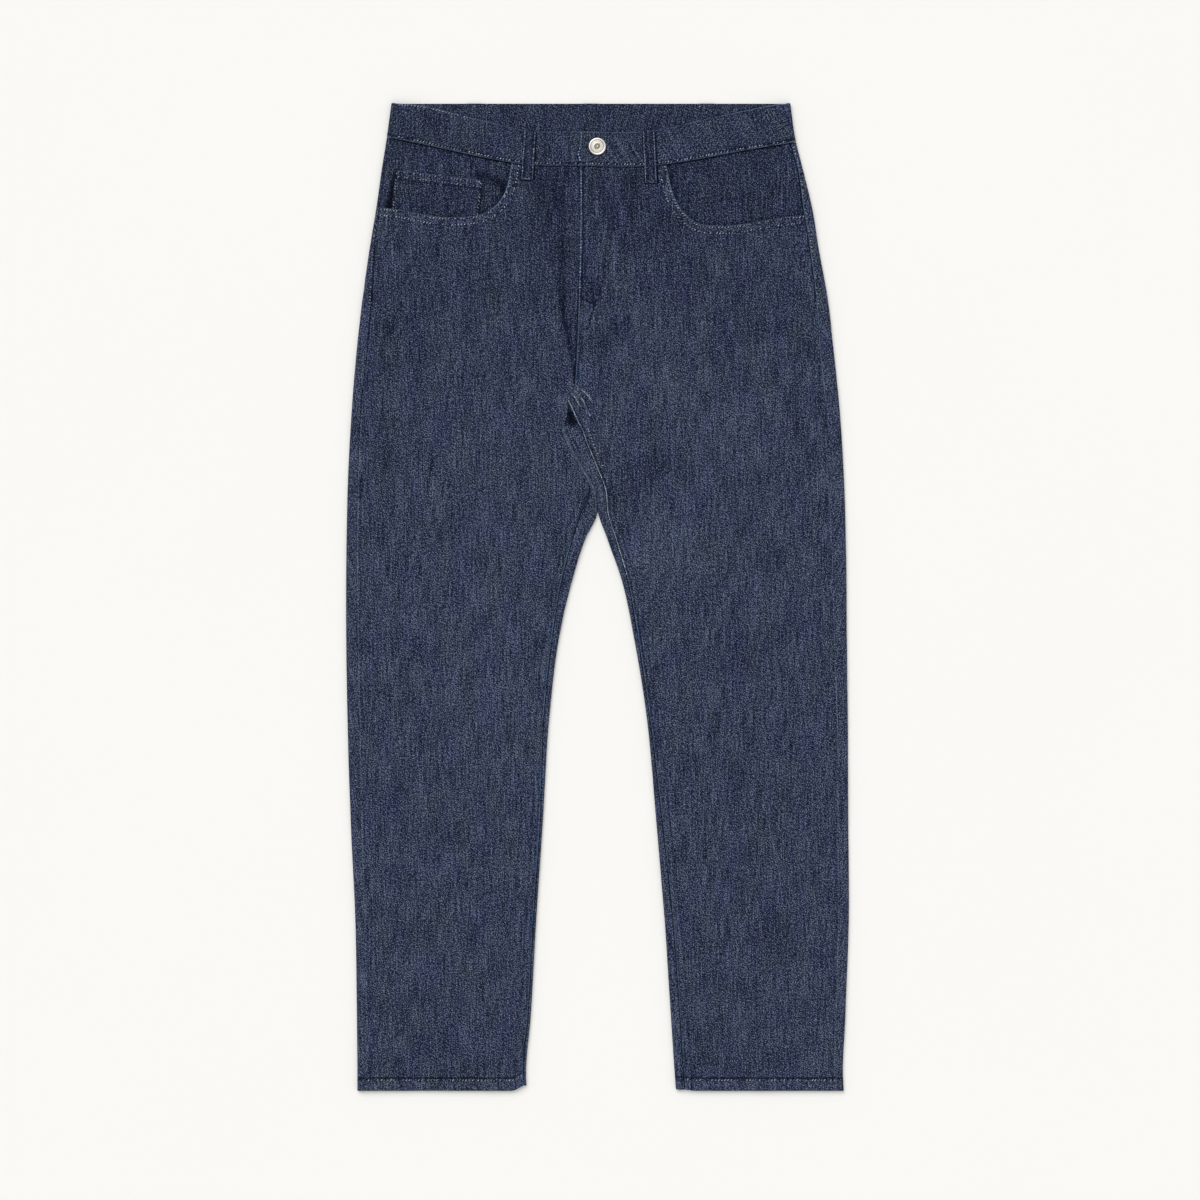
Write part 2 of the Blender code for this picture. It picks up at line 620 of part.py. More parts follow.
def loop_lift(across):
    """1 over each back belt loop, 0 clear of it."""
    lift = np.zeros(np.shape(across))
    for centre in BACK_LOOPS.values():
        lift = np.maximum(lift, np.interp(np.abs(across - centre), BACK_LOOP_RAMP, [1.0, 0.0]))
    return lift


def make_front_loop(name, loop, material):
    """A belt loop laid over the waistband and sewn down on the front, its foot turned under."""
    turn = loop.foot - LOOP_TURNED
    down = np.array([loop.top, loop.top + 4, 48, 61, LOOP_STEP[0], sum(LOOP_STEP) / 2, LOOP_STEP[1],
                     turn - 1, turn, loop.foot])
    share = (down - loop.top) / (loop.foot - loop.top)
    centre = loop.top_across + (loop.foot_across - loop.top_across) * share
    skin = np.interp(down, LOOP_STEP, [BAND_HEIGHT, tube_height(LOOP_STEP[1])])
    cloth_here = np.where(down >= turn, LOOP_TURNED_CLOTH, LOOP_CLOTH)
    up = skin + SEAM + cloth_here
    halves = np.array([-0.5, 0.0, 0.5]) * LOOP_WIDTH
    across = centre[:, None] + halves
    ones = np.ones_like(halves)
    cloth(name, *facing_out("right", across, down[:, None] * ones, up[:, None] * ones,
          cloth_here[:, None] * ones), material)


def make_back_loop(name, centre, material):
    half = LOOP_WIDTH / 2
    corners = [(centre - half, BACK_LOOP_TOP), (centre + half, BACK_LOOP_TOP),
               (centre + half, BACK_LOOP_FOOT), (centre - half, BACK_LOOP_FOOT)]
    outline(name, corners, 0, LOOP_CLOTH, material, GARMENT)


def make_back_pocket(which, material):
    """A five-sided patch pocket whose sides follow the back panel's own taper."""
    edge_at = {}
    for down in (BACK_POCKET_TOP, BACK_POCKET_CORNER):
        centre = float(smooth(CENTRES, "back", down))
        edge = float(smooth(SIDES, which + "_edge", down))
        edge_at[down] = [centre + (edge - centre) * share for share in BACK_POCKET_SPAN]
    top, corner = edge_at[BACK_POCKET_TOP], edge_at[BACK_POCKET_CORNER]
    points = [
        (top[0], BACK_POCKET_TOP), (top[1], BACK_POCKET_TOP), (corner[1], BACK_POCKET_CORNER),
        (sum(corner) / 2, BACK_POCKET_POINT), (corner[0], BACK_POCKET_CORNER),
    ]
    outline("back_pocket_" + which, points, 0, POCKET_CLOTH, material, GARMENT)


def make_facing(which, material):
    """The pocket's facing: from inside the side fold to a hand's edge under the front round the mouth."""
    inward = 1 if which == "right" else -1
    mouth = np.array(mouth_line(which))
    tangent = np.gradient(mouth, axis=0)
    tangent /= np.linalg.norm(tangent, axis=1)[:, None]
    normal = np.stack([-tangent[:, 1], tangent[:, 0]], axis=1) * -inward
    under = (mouth + normal * FACING_MARGIN)[:-3]
    downs = np.linspace(FACING_TOP, float(under[-1][1]), 5)
    edge = smooth(SIDES, which + "_edge", downs) + inward * FACING_INSET
    points = [tuple(point) for point in under] + list(zip(edge, downs))[::-1]
    outer, inner_end = FACING_TOP_INSETS
    top_across = np.linspace(edge[0] + inward * outer, under[0][0] - inward * inner_end, 6)
    clear = BAND_BACK_FOOT + FACING_CLEAR[which]
    points += list(zip(top_across, np.maximum(smooth(BAND, "foot", top_across) - FACING_MARGIN, clear)))
    outline("pocket_facing_" + which, points, FACING_BASE, FACING_BASE + POCKET_CLOTH, material, GARMENT)


def make_coin_pocket(material):
    """The small patch pocket on the right facing."""
    outline("coin_pocket", COIN_POCKET, COIN_BASE, COIN_BASE + POCKET_CLOTH, material, GARMENT)


def make_button(material):
    """A turned shank button that lies on the waistband."""
    mesh = bpy.data.meshes.new("button")
    mesh.from_pydata([(turn.radius * MM, 0, turn.height * MM) for turn in BUTTON],
                     [(k, k + 1) for k in range(len(BUTTON) - 1)], [])
    obj = link(bpy.data.objects.new("button", mesh), material, GARMENT)
    obj.location = (BUTTON_AT[0] * MM, (LENGTH / 2 - BUTTON_AT[1]) * MM, (BAND_HEIGHT + SEAM) * MM)
    turn = obj.modifiers.new("Turned", "SCREW")
    turn.steps = turn.render_steps = 32
    turn.use_merge_vertices = True
    turn.merge_threshold = 0.0001
    turn.use_smooth_shade = True


def new_collection(name):
    collection = bpy.data.collections.new(name)
    bpy.context.scene.collection.children.link(collection)
    return collection


for leftover in list(bpy.data.objects):
    bpy.data.objects.remove(leftover)
GARMENT = new_collection("Tapered jeans")
CUTTERS = new_collection("Cutters")

DENIM_FINISH = new_material("Indigo denim", INDIGO, 0.85)
SHADED_FINISH = new_material("Indigo denim, pocket", DARK_INDIGO, 0.88)
BAND_FINISH = new_material("Indigo denim, waistband", BAND_INDIGO, 0.85)
METAL_FINISH = new_material("Nickel", NICKEL, 0.35, 1.0)

for half in ("right", "left"):
    make_back(half, DENIM_FINISH)
    make_yoke(half, DENIM_FINISH)
    make_back_pocket(half, DENIM_FINISH)
    make_front(half, DENIM_FINISH)
    make_facing(half, SHADED_FINISH)
make_coin_pocket(SHADED_FINISH)
make_band(BAND_FINISH)
for loop_name, loop_row in FRONT_LOOPS.items():
    make_front_loop(loop_name, loop_row, BAND_FINISH)
for loop_name, loop_centre in BACK_LOOPS.items():
    make_back_loop(loop_name, loop_centre, BAND_FINISH)
make_button(METAL_FINISH)
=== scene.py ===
"""Tapered five-pocket jeans laid flat on their back: cloth, sewing, button and floor.

Every cloth piece is a thin closed shell, worked out on a fine grid from the same tables of sizes as its
solid, and stands for that solid. Sizes are millimetres in the tables and metres in the meshes. "Across" is
X, "up" is Z, and "down" is the distance from the top of the back waistband towards the hems, against Y.
"""

import math
from collections import namedtuple

import bpy
import numpy as np
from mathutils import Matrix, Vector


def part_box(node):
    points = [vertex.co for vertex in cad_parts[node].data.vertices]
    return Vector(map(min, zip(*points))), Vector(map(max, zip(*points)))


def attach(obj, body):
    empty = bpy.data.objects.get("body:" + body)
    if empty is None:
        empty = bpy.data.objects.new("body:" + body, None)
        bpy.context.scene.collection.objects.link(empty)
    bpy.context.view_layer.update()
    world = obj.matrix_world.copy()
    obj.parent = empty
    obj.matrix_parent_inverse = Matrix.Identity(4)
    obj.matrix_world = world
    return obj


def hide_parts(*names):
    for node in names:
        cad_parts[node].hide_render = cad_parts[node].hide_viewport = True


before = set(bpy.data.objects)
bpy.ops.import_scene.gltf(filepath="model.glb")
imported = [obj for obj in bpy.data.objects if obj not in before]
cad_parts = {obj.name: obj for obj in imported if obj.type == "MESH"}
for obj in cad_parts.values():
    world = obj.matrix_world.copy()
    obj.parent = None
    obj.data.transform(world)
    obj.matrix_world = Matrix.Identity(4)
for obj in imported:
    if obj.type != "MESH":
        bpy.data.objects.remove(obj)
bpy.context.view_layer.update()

bl_info = {
    "name": "Tapered jeans",
    "version": (1, 0, 0),
    "blender": (4, 5, 0),
    "location": "View3D > Sidebar > Jeans",
    "description": "Builds denim shells, sewing, a button and a floor around the jeans' solids",
    "category": "Object",
}

MM = 0.001
BODY = "root"
# Direction along X towards the middle of the garment, from each leg.
INWARD = {"right": 1, "left": -1}
# A distance so great that a mark never reaches it.
FAR = 99.0

# ---------------------------------------------------------------- sizes of the garment, in millimetres

BAND_TOP = 0.2
LENGTH = round(2 * (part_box("waistband")[1].y / MM + BAND_TOP), 1)
SEAM = 0.3
HALF_SEAM = SEAM / 2
HALF_SEWN = 0.04

DENIM = 1.3
BAND_CLOTH = 1.8
POCKET_CLOTH = 1.0
LOOP_CLOTH = 1.0
HEM_CLOTH = 2.0
BAND_HEIGHT = 6.5
FACING_BASE = DENIM + SEAM
COIN_BASE = FACING_BASE + POCKET_CLOTH + SEAM

BAND_BACK_FOOT = 38.0
BAND_FOOT_RUN = 60.0
UNDERLAP_END = 16.5
BAND_DIP = 2.1
BAND_DIP_SPAN = (-36.0, -19.0)

HEM_DEPTH = 12.7
HEM_STAND = 0.6
HEM_RISE = {"right": 7.0, "left": 1.6}
HEM_RISE_SPAN = (0.92, 1.03)
HEM_LEVEL = 950.0

LOOP_WIDTH = 12.5
LOOP_STEP = (67.5, 74.5)
LOOP_SEWN = 0.85
BACK_LOOP_TOP = 2.0
BACK_LOOP_FOOT = 37.0
BACK_LOOP_RAMP = (7.5, 11.0)

BUTTON_AT = (-0.2, 46.4)

YOKE_SIDE_FOOT = 75.0
YOKE_CENTRE_FOOT = 108.0
YOKE_LEVEL = 40.0
BACK_POCKET_TOP = 150.0
BACK_POCKET_CORNER = 276.0
BACK_POCKET_POINT = 291.0
BACK_POCKET_SPAN = (0.125, 0.73)
BACK_POCKET_RAMPS = (141.0, 147.0, 294.0, 302.0)
BACK_POCKET_SHARES = (0.08, 0.105, 0.75, 0.78)
UNDER_LIFT = 1.3

FACING_INSET = 4.5
FACING_MARGIN = 9.0
FACING_TOP = 44.0
FACING_CLEAR = {"right": 1.5, "left": 4.8}
FACING_TOP_INSETS = (20.0, 8.0)

FLY_LAP = 12.5
FLY_DIP = 1.8
FLY_DIP_START = 17.0
FLY_DIP_FULL = 1.0
FLY_LAP_FOOT = 197.0
FLY_FOOT = 206.0
FLY_DIP_GONE = 224.0

CROTCH = 310.0
LEGS_START = 318.0
INSIDE_FOLD = 326.0
INSIDE_TOP = 334.0
INSIDE_CLOSED = 342.0
CROTCH_EASE = 1.3
CROTCH_EASED = 360.0

# Side folds: each edge's place, and how far in from it the side seam shows.
Side = namedtuple("Side", "down right_edge right_inset left_edge left_inset")
SIDES = [
    Side(0, -218.5, 3.6, 204.5, 3.8), Side(36, -223.5, 3.6, 209.5, 6.0), Side(71, -229.0, 3.6, 218.0, 5.5),
    Side(110, -234.5, 3.8, 227.5, 9.5), Side(156, -242.0, 5.5, 235.0, 9.5),
    Side(209, -249.5, 10.0, 244.5, 12.5), Side(262, -255.5, 11.5, 250.5, 15.0),
    Side(315, -260.0, 10.0, 256.0, 15.0), Side(389, -264.3, 10.5, 261.0, 16.0),
    Side(463, -266.3, 11.0, 263.5, 14.5), Side(567, -266.6, 12.0, 264.5, 12.5),
    Side(652, -265.3, 12.5, 265.5, 10.5), Side(758, -262.0, 11.0, 266.0, 10.0),
    Side(864, -257.2, 9.5, 266.6, 10.0), Side(970, -255.3, 10.0, 263.0, 9.0),
    Side(1034, -254.9, 9.5, 260.5, 7.5), Side(1047.3, -254.9, 9.5, 261.3, 7.5),
]

# Centre seams of the hips. The front one is the edge of the fly.
Centre = namedtuple("Centre", "down front back")
CENTRES = [
    Centre(0, -18.5, -7.0), Centre(156, -18.5, -8.0), Centre(209, -20.0, -9.5), Centre(262, -22.0, -15.0),
    Centre(299, -24.5, -23.0), Centre(310, -26.5, -26.5),
]

# Inner folds of the legs, and how far in from them the inseams show.
Inner = namedtuple("Inner", "down right_edge right_inset left_edge left_inset")
INNERS = [
    Inner(310, -27.0, 3.2, -26.7, 3.2), Inner(326, -32.3, 3.2, -32.0, 7.5),
    Inner(348, -34.3, 3.2, -34.0, 17.5), Inner(382, -17.8, 3.3, -17.5, 15.0),
    Inner(411, -2.3, 6.0, -2.0, 10.5), Inner(434, -0.2, 17.3, 0.6, 10.0),
    Inner(463, -13.3, 13.5, 10.7, 8.8), Inner(503, -26.0, 11.5, 24.9, 6.5),
    Inner(567, -40.8, 7.5, 38.7, 4.5), Inner(652, -51.2, 6.0, 52.2, 3.5), Inner(758, -57.8, 3.2, 62.0, 6.5),
    Inner(864, -64.9, 3.2, 70.8, 9.0), Inner(970, -71.0, 3.2, 77.9, 9.8),
    Inner(1034, -75.8, 3.2, 82.2, 9.8), Inner(1047.3, -75.0, 3.2, 83.2, 9.8),
]

# Front edges where the four panels meet: they part below the crotch, round a hollow that is drawn dark as
# painted shade.
Parting = namedtuple("Parting", "down right left")
PARTINGS = [
    Parting(296, -23.6, -23.3), Parting(303, -25.4, -25.1), Parting(308, -28.1, -27.8),
    Parting(314, -32.2, -31.9), Parting(319, -32.0, -29.4), Parting(325.4, -31.8, -26.4),
    Parting(334, -32.8, -22.6), Parting(343, -36.4, -18.3), Parting(348, -38.95, -15.4),
]

Height = namedtuple("Height", "down height")
HEIGHTS = [Height(0, 5.6), Height(140, 5.6), Height(262, 4.9), Height(434, 4.6), Height(1048, 4.4)]

# Front edges of the waistband, from side to side.
Band = namedtuple("Band", "across top foot")
BAND = [
    Band(-224, 0.2, 36.0), Band(-192, 2.0, 42.4), Band(-150, 11.5, 51.5), Band(-110, 21.5, 60.0),
    Band(-79, 28.6, 65.0), Band(-20, 30.2, 66.6), Band(65, 28.6, 66.0), Band(105, 19.5, 60.0),
    Band(150, 9.5, 51.5), Band(189, 2.0, 45.0), Band(211, 0.2, 41.3),
]

BACK_LOOPS = {"loop_back_right": -130.0, "loop_back_centre": -7.0, "loop_back_left": 116.0}
Loop = namedtuple("Loop", "top_across top foot_across foot")
FRONT_LOOPS = {
    "loop_front_right": Loop(-71.6, 29.5, -74.7, 82.0),
    "loop_front_left": Loop(54.0, 29.3, 56.7, 85.0),
}

# Scooped mouths of the hip pockets, from the waistband out to the side seam.
Mouth = namedtuple("Mouth", "number across down")
MOUTHS = {
    "right": [
        Mouth(0, -91, 64), Mouth(1, -97, 92), Mouth(2, -110, 110.5), Mouth(3, -130, 119.5),
        Mouth(4, -167, 120.6), Mouth(5, -208, 113.5), Mouth(6, -236, 110),
    ],
    "left": [
        Mouth(0, 72.5, 64), Mouth(1, 80, 95.5), Mouth(2, 91, 115.5), Mouth(3, 108, 128), Mouth(4, 130, 130.2),
        Mouth(5, 154, 128.4), Mouth(6, 189, 122.4), Mouth(7, 222, 118.5),
    ],
}

Corner = namedtuple("Corner", "across down")
COIN_POCKET = [
    Corner(-214.5, 70.8), Corner(-121.8, 82.0), Corner(-126.0, 123.5), Corner(-168.0, 126.0),
    Corner(-206.0, 119.0), Corner(-219.0, 114.0),
]

# Soft folds of the fronts, which the solids have too: a ridge, or a trough where the rise is negative.
Fold = namedtuple("Fold", "across_a down_a across_b down_b half_width rise")
FOLDS = [
    Fold(-35.5, 100, -35.5, 238, 5, -0.7), Fold(-35.5, 238, -25, 296, 5, -0.6),
    Fold(-21, 305, -21, 306, 10, 1.4), Fold(20, 428, 104, 336, 13, -0.9), Fold(38, 448, 116, 372, 15, 0.5),
    Fold(76, 128, 108, 229, 13, -0.7), Fold(-60, 440, -150, 372, 16, -0.4),
]

# Finer folds: beside the fly, round the crotch, under the pockets, along the legs and above the hems.
SOFT_FOLDS = [
    Fold(11, 172, 3, 205, 3.5, -0.5), Fold(20, 80, 23, 150, 4, -0.4), Fold(-4, 84, -2, 190, 3.5, -0.35),
    Fold(7, 84, 8, 150, 3.5, 0.3), Fold(30, 120, 22, 196, 5, 0.35), Fold(-8, 176, -10, 202, 3.5, 0.5),
    Fold(-17.5, 207.5, -1, 210, 1.6, -0.9), Fold(-2.5, 212, -11, 240, 2.2, -0.7),
    Fold(-14, 214, -16, 232, 3, 0.4), Fold(-52, 78, -50, 150, 6, -0.35), Fold(-62, 84, -66, 140, 5, 0.3),
    Fold(-24.5, 306, -9, 333, 1.5, -0.5), Fold(-20, 303, -3, 322, 1.6, -0.45),
    Fold(-28, 309, -15, 338, 1.5, -0.45), Fold(6, 300, 62, 280, 10, -0.3), Fold(96, 150, 92, 236, 9, 0.3),
    Fold(128, 196, 156, 262, 14, -0.35), Fold(-40, 392, -46, 458, 7, 0.35),
    Fold(-32, 352, -36, 420, 5, -0.3), Fold(24, 372, 30, 402, 5, 0.3), Fold(-100, 138, -116, 196, 10, -0.3),
    Fold(-150, 300, -196, 330, 16, -0.25), Fold(150, 420, 216, 396, 18, -0.25),
    Fold(-90, 560, -70, 640, 12, 0.25), Fold(76, 520, 90, 620, 11, 0.3),
    Fold(140, 560, 170, 640, 16, -0.25), Fold(150, 700, 172, 780, 13, -0.3),
    Fold(180, 860, 206, 930, 15, -0.3), Fold(-228, 930, -214, 1010, 9, -0.4),
    Fold(112, 1000, 128, 1034, 8, -0.3), Fold(150, 1008, 196, 1020, 10, -0.3),
    Fold(-150, 800, -128, 880, 14, 0.2), Fold(-176, 640, -160, 720, 15, -0.2),
    Fold(-200, 200, -214, 300, 15, -0.25), Fold(206, 270, 218, 360, 9, -0.3),
    Fold(-120, 470, -170, 520, 16, 0.2),
]

# Folds of the underside, lifted off the surface: behind the knees, under the seat and beside the pockets.
UNDER_FOLDS = [
    Fold(-60, 330, -150, 350, 12, 0.7), Fold(20, 340, 120, 356, 13, 0.8),
    Fold(-90, 372, -190, 366, 15, 0.5), Fold(60, 392, 170, 380, 14, 0.5),
    Fold(-96, 600, -220, 618, 12, 0.5), Fold(92, 606, 214, 590, 12, 0.6),
    Fold(-110, 660, -206, 646, 14, 0.4), Fold(110, 652, 220, 668, 13, 0.4),
    Fold(-210, 160, -220, 280, 9, 0.5), Fold(204, 170, 216, 290, 9, 0.5), Fold(-20, 130, -24, 230, 6, 0.5),
    Fold(4, 140, 2, 240, 6, 0.5), Fold(-150, 900, -120, 990, 16, 0.4), Fold(150, 880, 176, 970, 16, 0.4),
]

# Steps between rows or columns at an edge, from the edge inwards.
EDGE_STEPS = np.array([0.0, 0.5, 1.1, 1.9, 2.8, 4.0, 5.6, 7.0, 8.0, 9.2, 11.5])
INNER_STEPS = np.concatenate([EDGE_STEPS, np.arange(13.0, 21.0, 1.4), np.arange(21.6, 47.0, 2.0)])
HEM_STEPS = np.array([0.0, 0.5, 1.2, 2.2, 3.6, 5.2, 7.0, 8.8, 10.4, 11.5, 12.2, 12.9, 13.6, 14.6, 16.4, 19.0])
SEWN = (1.9, 8.0)
FRONT_PATCH_FOOT = 212.0
ROW_STEP = 2.9
LOOP_CLUSTER = np.arange(-11.2, 11.3, 0.7)
FOOT_STEPS = np.arange(0.0, 15.0, 1.3)
TUCK_ROWS = (213.3, 246.0, 1.5)
CLOSE_ROWS = (296.0, 362.0, 1.5)
CROTCH_ROWS = (318.0, 412.0, 1.7)
BACK_ROW_STEP = 3.4
FRONT_COLUMNS = 46
BACK_COLUMNS = 44

# ---------------------------------------------------------------- settings that a user would change


def colour_setting(name, description, default):
    """A colour that a user can change, as linear red, green and blue."""
    return bpy.props.FloatVectorProperty(
        name=name, description=description, subtype="COLOR", size=4, min=0, max=1, default=(*default, 1))


class JeansDenim(bpy.types.PropertyGroup):
    """Colours and strength of the denim."""

    dark: colour_setting("Dark yarn", "Indigo of the warp in the weave's valleys", (0.0053, 0.0083, 0.0232))
    indigo: colour_setting("Indigo", "The denim's middle tone", (0.0180, 0.0242, 0.0522))
    fleck: colour_setting("Flecks", "Undyed weft where it shows between warp yarns", (0.157, 0.190, 0.272))
    worn: colour_setting("Worn edges", "Rubbed indigo on turned edges and seams", (0.110, 0.205, 0.370))
    palest: colour_setting("Palest edges", "Edges rubbed down to the bare cotton", (0.165, 0.225, 0.300))
    contrast: bpy.props.FloatProperty(
        name="Contrast", description="Strength of slubs, twill and flecks", min=0, max=3, default=1.0)
    # Painted shade: how much darker the pocket facings and coin pocket are drawn, for the shade inside the
    # pocket mouths.
    shade: bpy.props.FloatProperty(
        name="Pocket shade", description="Tone inside the pocket mouths", min=0, max=1, default=0.20)


class JeansThread(bpy.types.PropertyGroup):
    """The sewing thread."""

    colour: colour_setting("Thread", "Tonal topstitching thread", (0.300, 0.345, 0.395))
    length: bpy.props.FloatProperty(
        name="Stitch length", description="One stitch along the seam", unit="LENGTH", default=1.5 * MM)
    gap: bpy.props.FloatProperty(
        name="Stitch gap", description="Cloth between two stitches", unit="LENGTH", default=1.8 * MM)
    width: bpy.props.FloatProperty(
        name="Thread width", description="Width of a stitch", unit="LENGTH", default=1.0 * MM)
    slant: bpy.props.FloatProperty(
        name="Stitch slant", description="Sideways share of a stitch's length", min=-2, max=2, default=-1.0)
    dark: colour_setting(
        "Sunk thread", "Thread of the fly, drawn down among the yarns", (0.038, 0.048, 0.085))
    pale: colour_setting("Pale thread", "Stretched, rubbed thread at the crotch", (0.330, 0.400, 0.450))
    faint: colour_setting(
        "Faint thread", "Thread of the loops, coin pocket and side seams", (0.230, 0.270, 0.325))
    overcast: colour_setting(
        "Overcast thread", "Faded thread round the edges of the lap and the fly", (0.160, 0.250, 0.400))


class JeansButton(bpy.types.PropertyGroup):
    """The shank button."""

    nickel: colour_setting("Nickel", "Polished high places of the button", (0.80, 0.77, 0.71))
    tarnish: colour_setting("Tarnish", "Dulled low places of the button", (0.24, 0.205, 0.165))


class JeansStage(bpy.types.PropertyGroup):
    """Floor, light and camera."""

    floor: colour_setting("Floor", "Pale floor", (0.90, 0.893, 0.868))
    frame_width: bpy.props.FloatProperty(
        name="Frame width", description="Width of floor that the picture shows", unit="LENGTH", default=1.272)
    lens: bpy.props.FloatProperty(name="Lens", description="Focal length", unit="CAMERA", default=100.0)
    key: bpy.props.FloatProperty(name="Key light", description="Strength of the soft key", min=0, default=1.86)
    fill: bpy.props.FloatProperty(name="Fill light", description="Strength of the fill", min=0, default=0.55)
    sky: bpy.props.FloatProperty(name="Sky", description="Strength of the even light", min=0, default=0.45)


# ---------------------------------------------------------------- curves and reliefs as whole arrays


def smooth(rows, name, at):
    """A column of a table at any place, by cubics whose slope at a row is that across its neighbours."""
    x = np.array([row[0] for row in rows], float)
    y = np.array([getattr(row, name) for row in rows], float)
    slope = np.gradient(y, x)
    at = np.clip(np.asarray(at, float), x[0], x[-1])
    i = np.clip(np.searchsorted(x, at) - 1, 0, len(x) - 2)
    step = x[i + 1] - x[i]
    t = (at - x[i]) / step
    return (
        (1 + 2 * t) * (1 - t) ** 2 * y[i]
        + t * (1 - t) ** 2 * step * slope[i]
        + t * t * (3 - 2 * t) * y[i + 1]
        - t * t * (1 - t) * step * slope[i + 1]
    )


def ease(value, start, end):
    """0 before start, 1 after end, and a smooth rise 3t^2 - 2t^3 between."""
    t = np.clip((value - start) / (end - start), 0, 1)
    return t * t * (3 - 2 * t)


def folded(folds, across, down):
    """Rise of a surface: each fold is a bell, exp(-(gap / half width)^2), of the distance from its line."""
    rise = np.zeros(np.broadcast(across, down).shape)
    for fold in folds:
        run, drop = fold.across_b - fold.across_a, fold.down_b - fold.down_a
        share = ((across - fold.across_a) * run + (down - fold.down_a) * drop) / (run**2 + drop**2)
        share = np.clip(share, 0, 1)
        gap = np.hypot(across - fold.across_a - share * run, down - fold.down_a - share * drop)
        rise = rise + fold.rise * np.exp(-((gap / fold.half_width) ** 2))
    return rise


def waves(across, down, size, seed, count=14):
    """Uneven swell about 1 high: a sum of plane waves in seeded directions, with lengths round the size."""
    draw = np.random.default_rng(seed)
    turn = draw.uniform(0, math.pi, count)
    length = size * draw.uniform(0.7, 1.6, count)
    phase = draw.uniform(0, 2 * math.pi, count)
    total = np.zeros(np.broadcast(across, down).shape)
    for a, wave, start in zip(turn, length, phase):
        total = total + np.sin(2 * math.pi * (across * math.cos(a) + down * math.sin(a)) / wave + start)
    return total / math.sqrt(count / 2)


def ripple(along, wave, seed):
    """Puckers along a seam, about 1 high: three waves near that length, so that no two are alike."""
    draw = np.random.default_rng(seed)
    total = np.zeros(np.shape(along))
    for share in (0.77, 1.0, 1.41):
        total = total + np.sin(2 * math.pi * along / (wave * share) + draw.uniform(0, 2 * math.pi))
    return total / 1.9


def rolled(gap, radius, drop):
    """Fall of a turned edge: drop * (1 - sqrt(1 - t^2)), a quarter round within the radius of the edge."""
    t = np.clip(1 - gap / radius, 0, 1)
    return -drop * (1 - np.sqrt(1 - t * t))


def bump(gap, at, half_width):
    """A bell about a distance from a seam."""
    return np.exp(-(((gap - at) / half_width) ** 2))


def gap_to(path, across, down):
    """(distance, signed distance, distance along) from each point to a polyline of (across, down) points."""
    shape = np.broadcast(across, down).shape
    p = np.stack([np.broadcast_to(across, shape).ravel(), np.broadcast_to(down, shape).ravel()], axis=1)
    path = np.asarray(path, float)
    a, step = path[:-1], np.diff(path, axis=0)
    lengths = np.linalg.norm(step, axis=1)
    starts = np.concatenate([[0], np.cumsum(lengths)[:-1]])
    best = np.full(len(p), 1e9)
    signed, along = np.zeros(len(p)), np.zeros(len(p))
    for k in range(len(a)):
        rel = p - a[k]
        share = np.clip(rel @ step[k] / lengths[k] ** 2, 0, 1)
        off = rel - share[:, None] * step[k]
        gap = np.hypot(off[:, 0], off[:, 1])
        nearer = gap < best
        sign = np.sign(step[k, 0] * rel[:, 1] - step[k, 1] * rel[:, 0])
        best = np.where(nearer, gap, best)
        signed = np.where(nearer, gap * sign, signed)
        along = np.where(nearer, starts[k] + share * lengths[k], along)
    return best.reshape(shape), signed.reshape(shape), along.reshape(shape)


def spread(total, near, far, middle):
    """Places from 0 to total: the near steps, the middle, and the far steps back from the other end.

    The middle is a count of even gaps, or the shares of its own places.
    """
    total = np.asarray(total, float)[..., None]
    share = np.linspace(0, 1, middle + 1)[1:-1] if np.ndim(middle) == 0 else middle
    body = near[-1] + (total - near[-1] - far[-1]) * share
    ones = np.ones_like(total)
    return np.concatenate([near * ones, body, total - far[::-1]], axis=-1)


def arc(path):
    """Distance along a polyline at each of its points."""
    return np.concatenate([[0], np.cumsum(np.linalg.norm(np.diff(path, axis=0), axis=1))])


def resampled(path, count):
    """The polyline at evenly spaced distances."""
    path = np.asarray(path, float)
    at = arc(path)
    places = np.linspace(0, at[-1], count)
    return np.stack([np.interp(places, at, path[:, 0]), np.interp(places, at, path[:, 1])], axis=1)


def set_off(path, offset):
    """The polyline moved sideways by an offset, along its own normal (-dy, dx)."""
    path = np.asarray(path, float)
    tangent = np.gradient(path, axis=0)
    tangent /= np.linalg.norm(tangent, axis=1)[:, None]
    return path + offset * np.stack([-tangent[:, 1], tangent[:, 0]], axis=1)


# ---------------------------------------------------------------- the laid tube: folds, seams and heights


def tube_height(down):
    return smooth(HEIGHTS, "height", down)


def hem_line(leg, share):
    """Down of the hem: it turns up at the inseam."""
    return LENGTH - HEM_RISE[leg] * ease(share, *HEM_RISE_SPAN)


def to_hem(leg, share, level):
    """Downs of level rows, the last of them drawn up or down to meet the hem."""
    return level + (hem_line(leg, share) - LENGTH) * np.clip((level - HEM_LEVEL) / (LENGTH - HEM_LEVEL), 0, 1)


def side(which, down):
    """(edge, inset, inward) of the side fold of one half."""
    inward = INWARD[which]
    return smooth(SIDES, which + "_edge", down), smooth(SIDES, which + "_inset", down), inward


def inner(which, down):
    """(edge, inset, inward) of a leg's inner fold."""
    inward = -INWARD[which]
    return smooth(INNERS, which + "_edge", down), smooth(INNERS, which + "_inset", down), inward


def round_fold(edge, inward, radius, along):
    """A flattened tube's skin near a fold: (across, up) at a distance along it from the outermost point.

    Within a quarter turn the skin is a half circle of the radius, (r - r cos a, r + r sin a) with
    a = along / r, and past it the skin runs straight inwards, over the top or under the tube.
    """
    quarter = 0.5 * math.pi * radius
    turn = np.clip(along, -quarter, quarter) / radius
    run = np.maximum(np.abs(along) - quarter, 0)
    across = edge + inward * (radius - radius * np.cos(turn) + run)
    return across, radius + radius * np.sin(turn) + np.zeros_like(across)


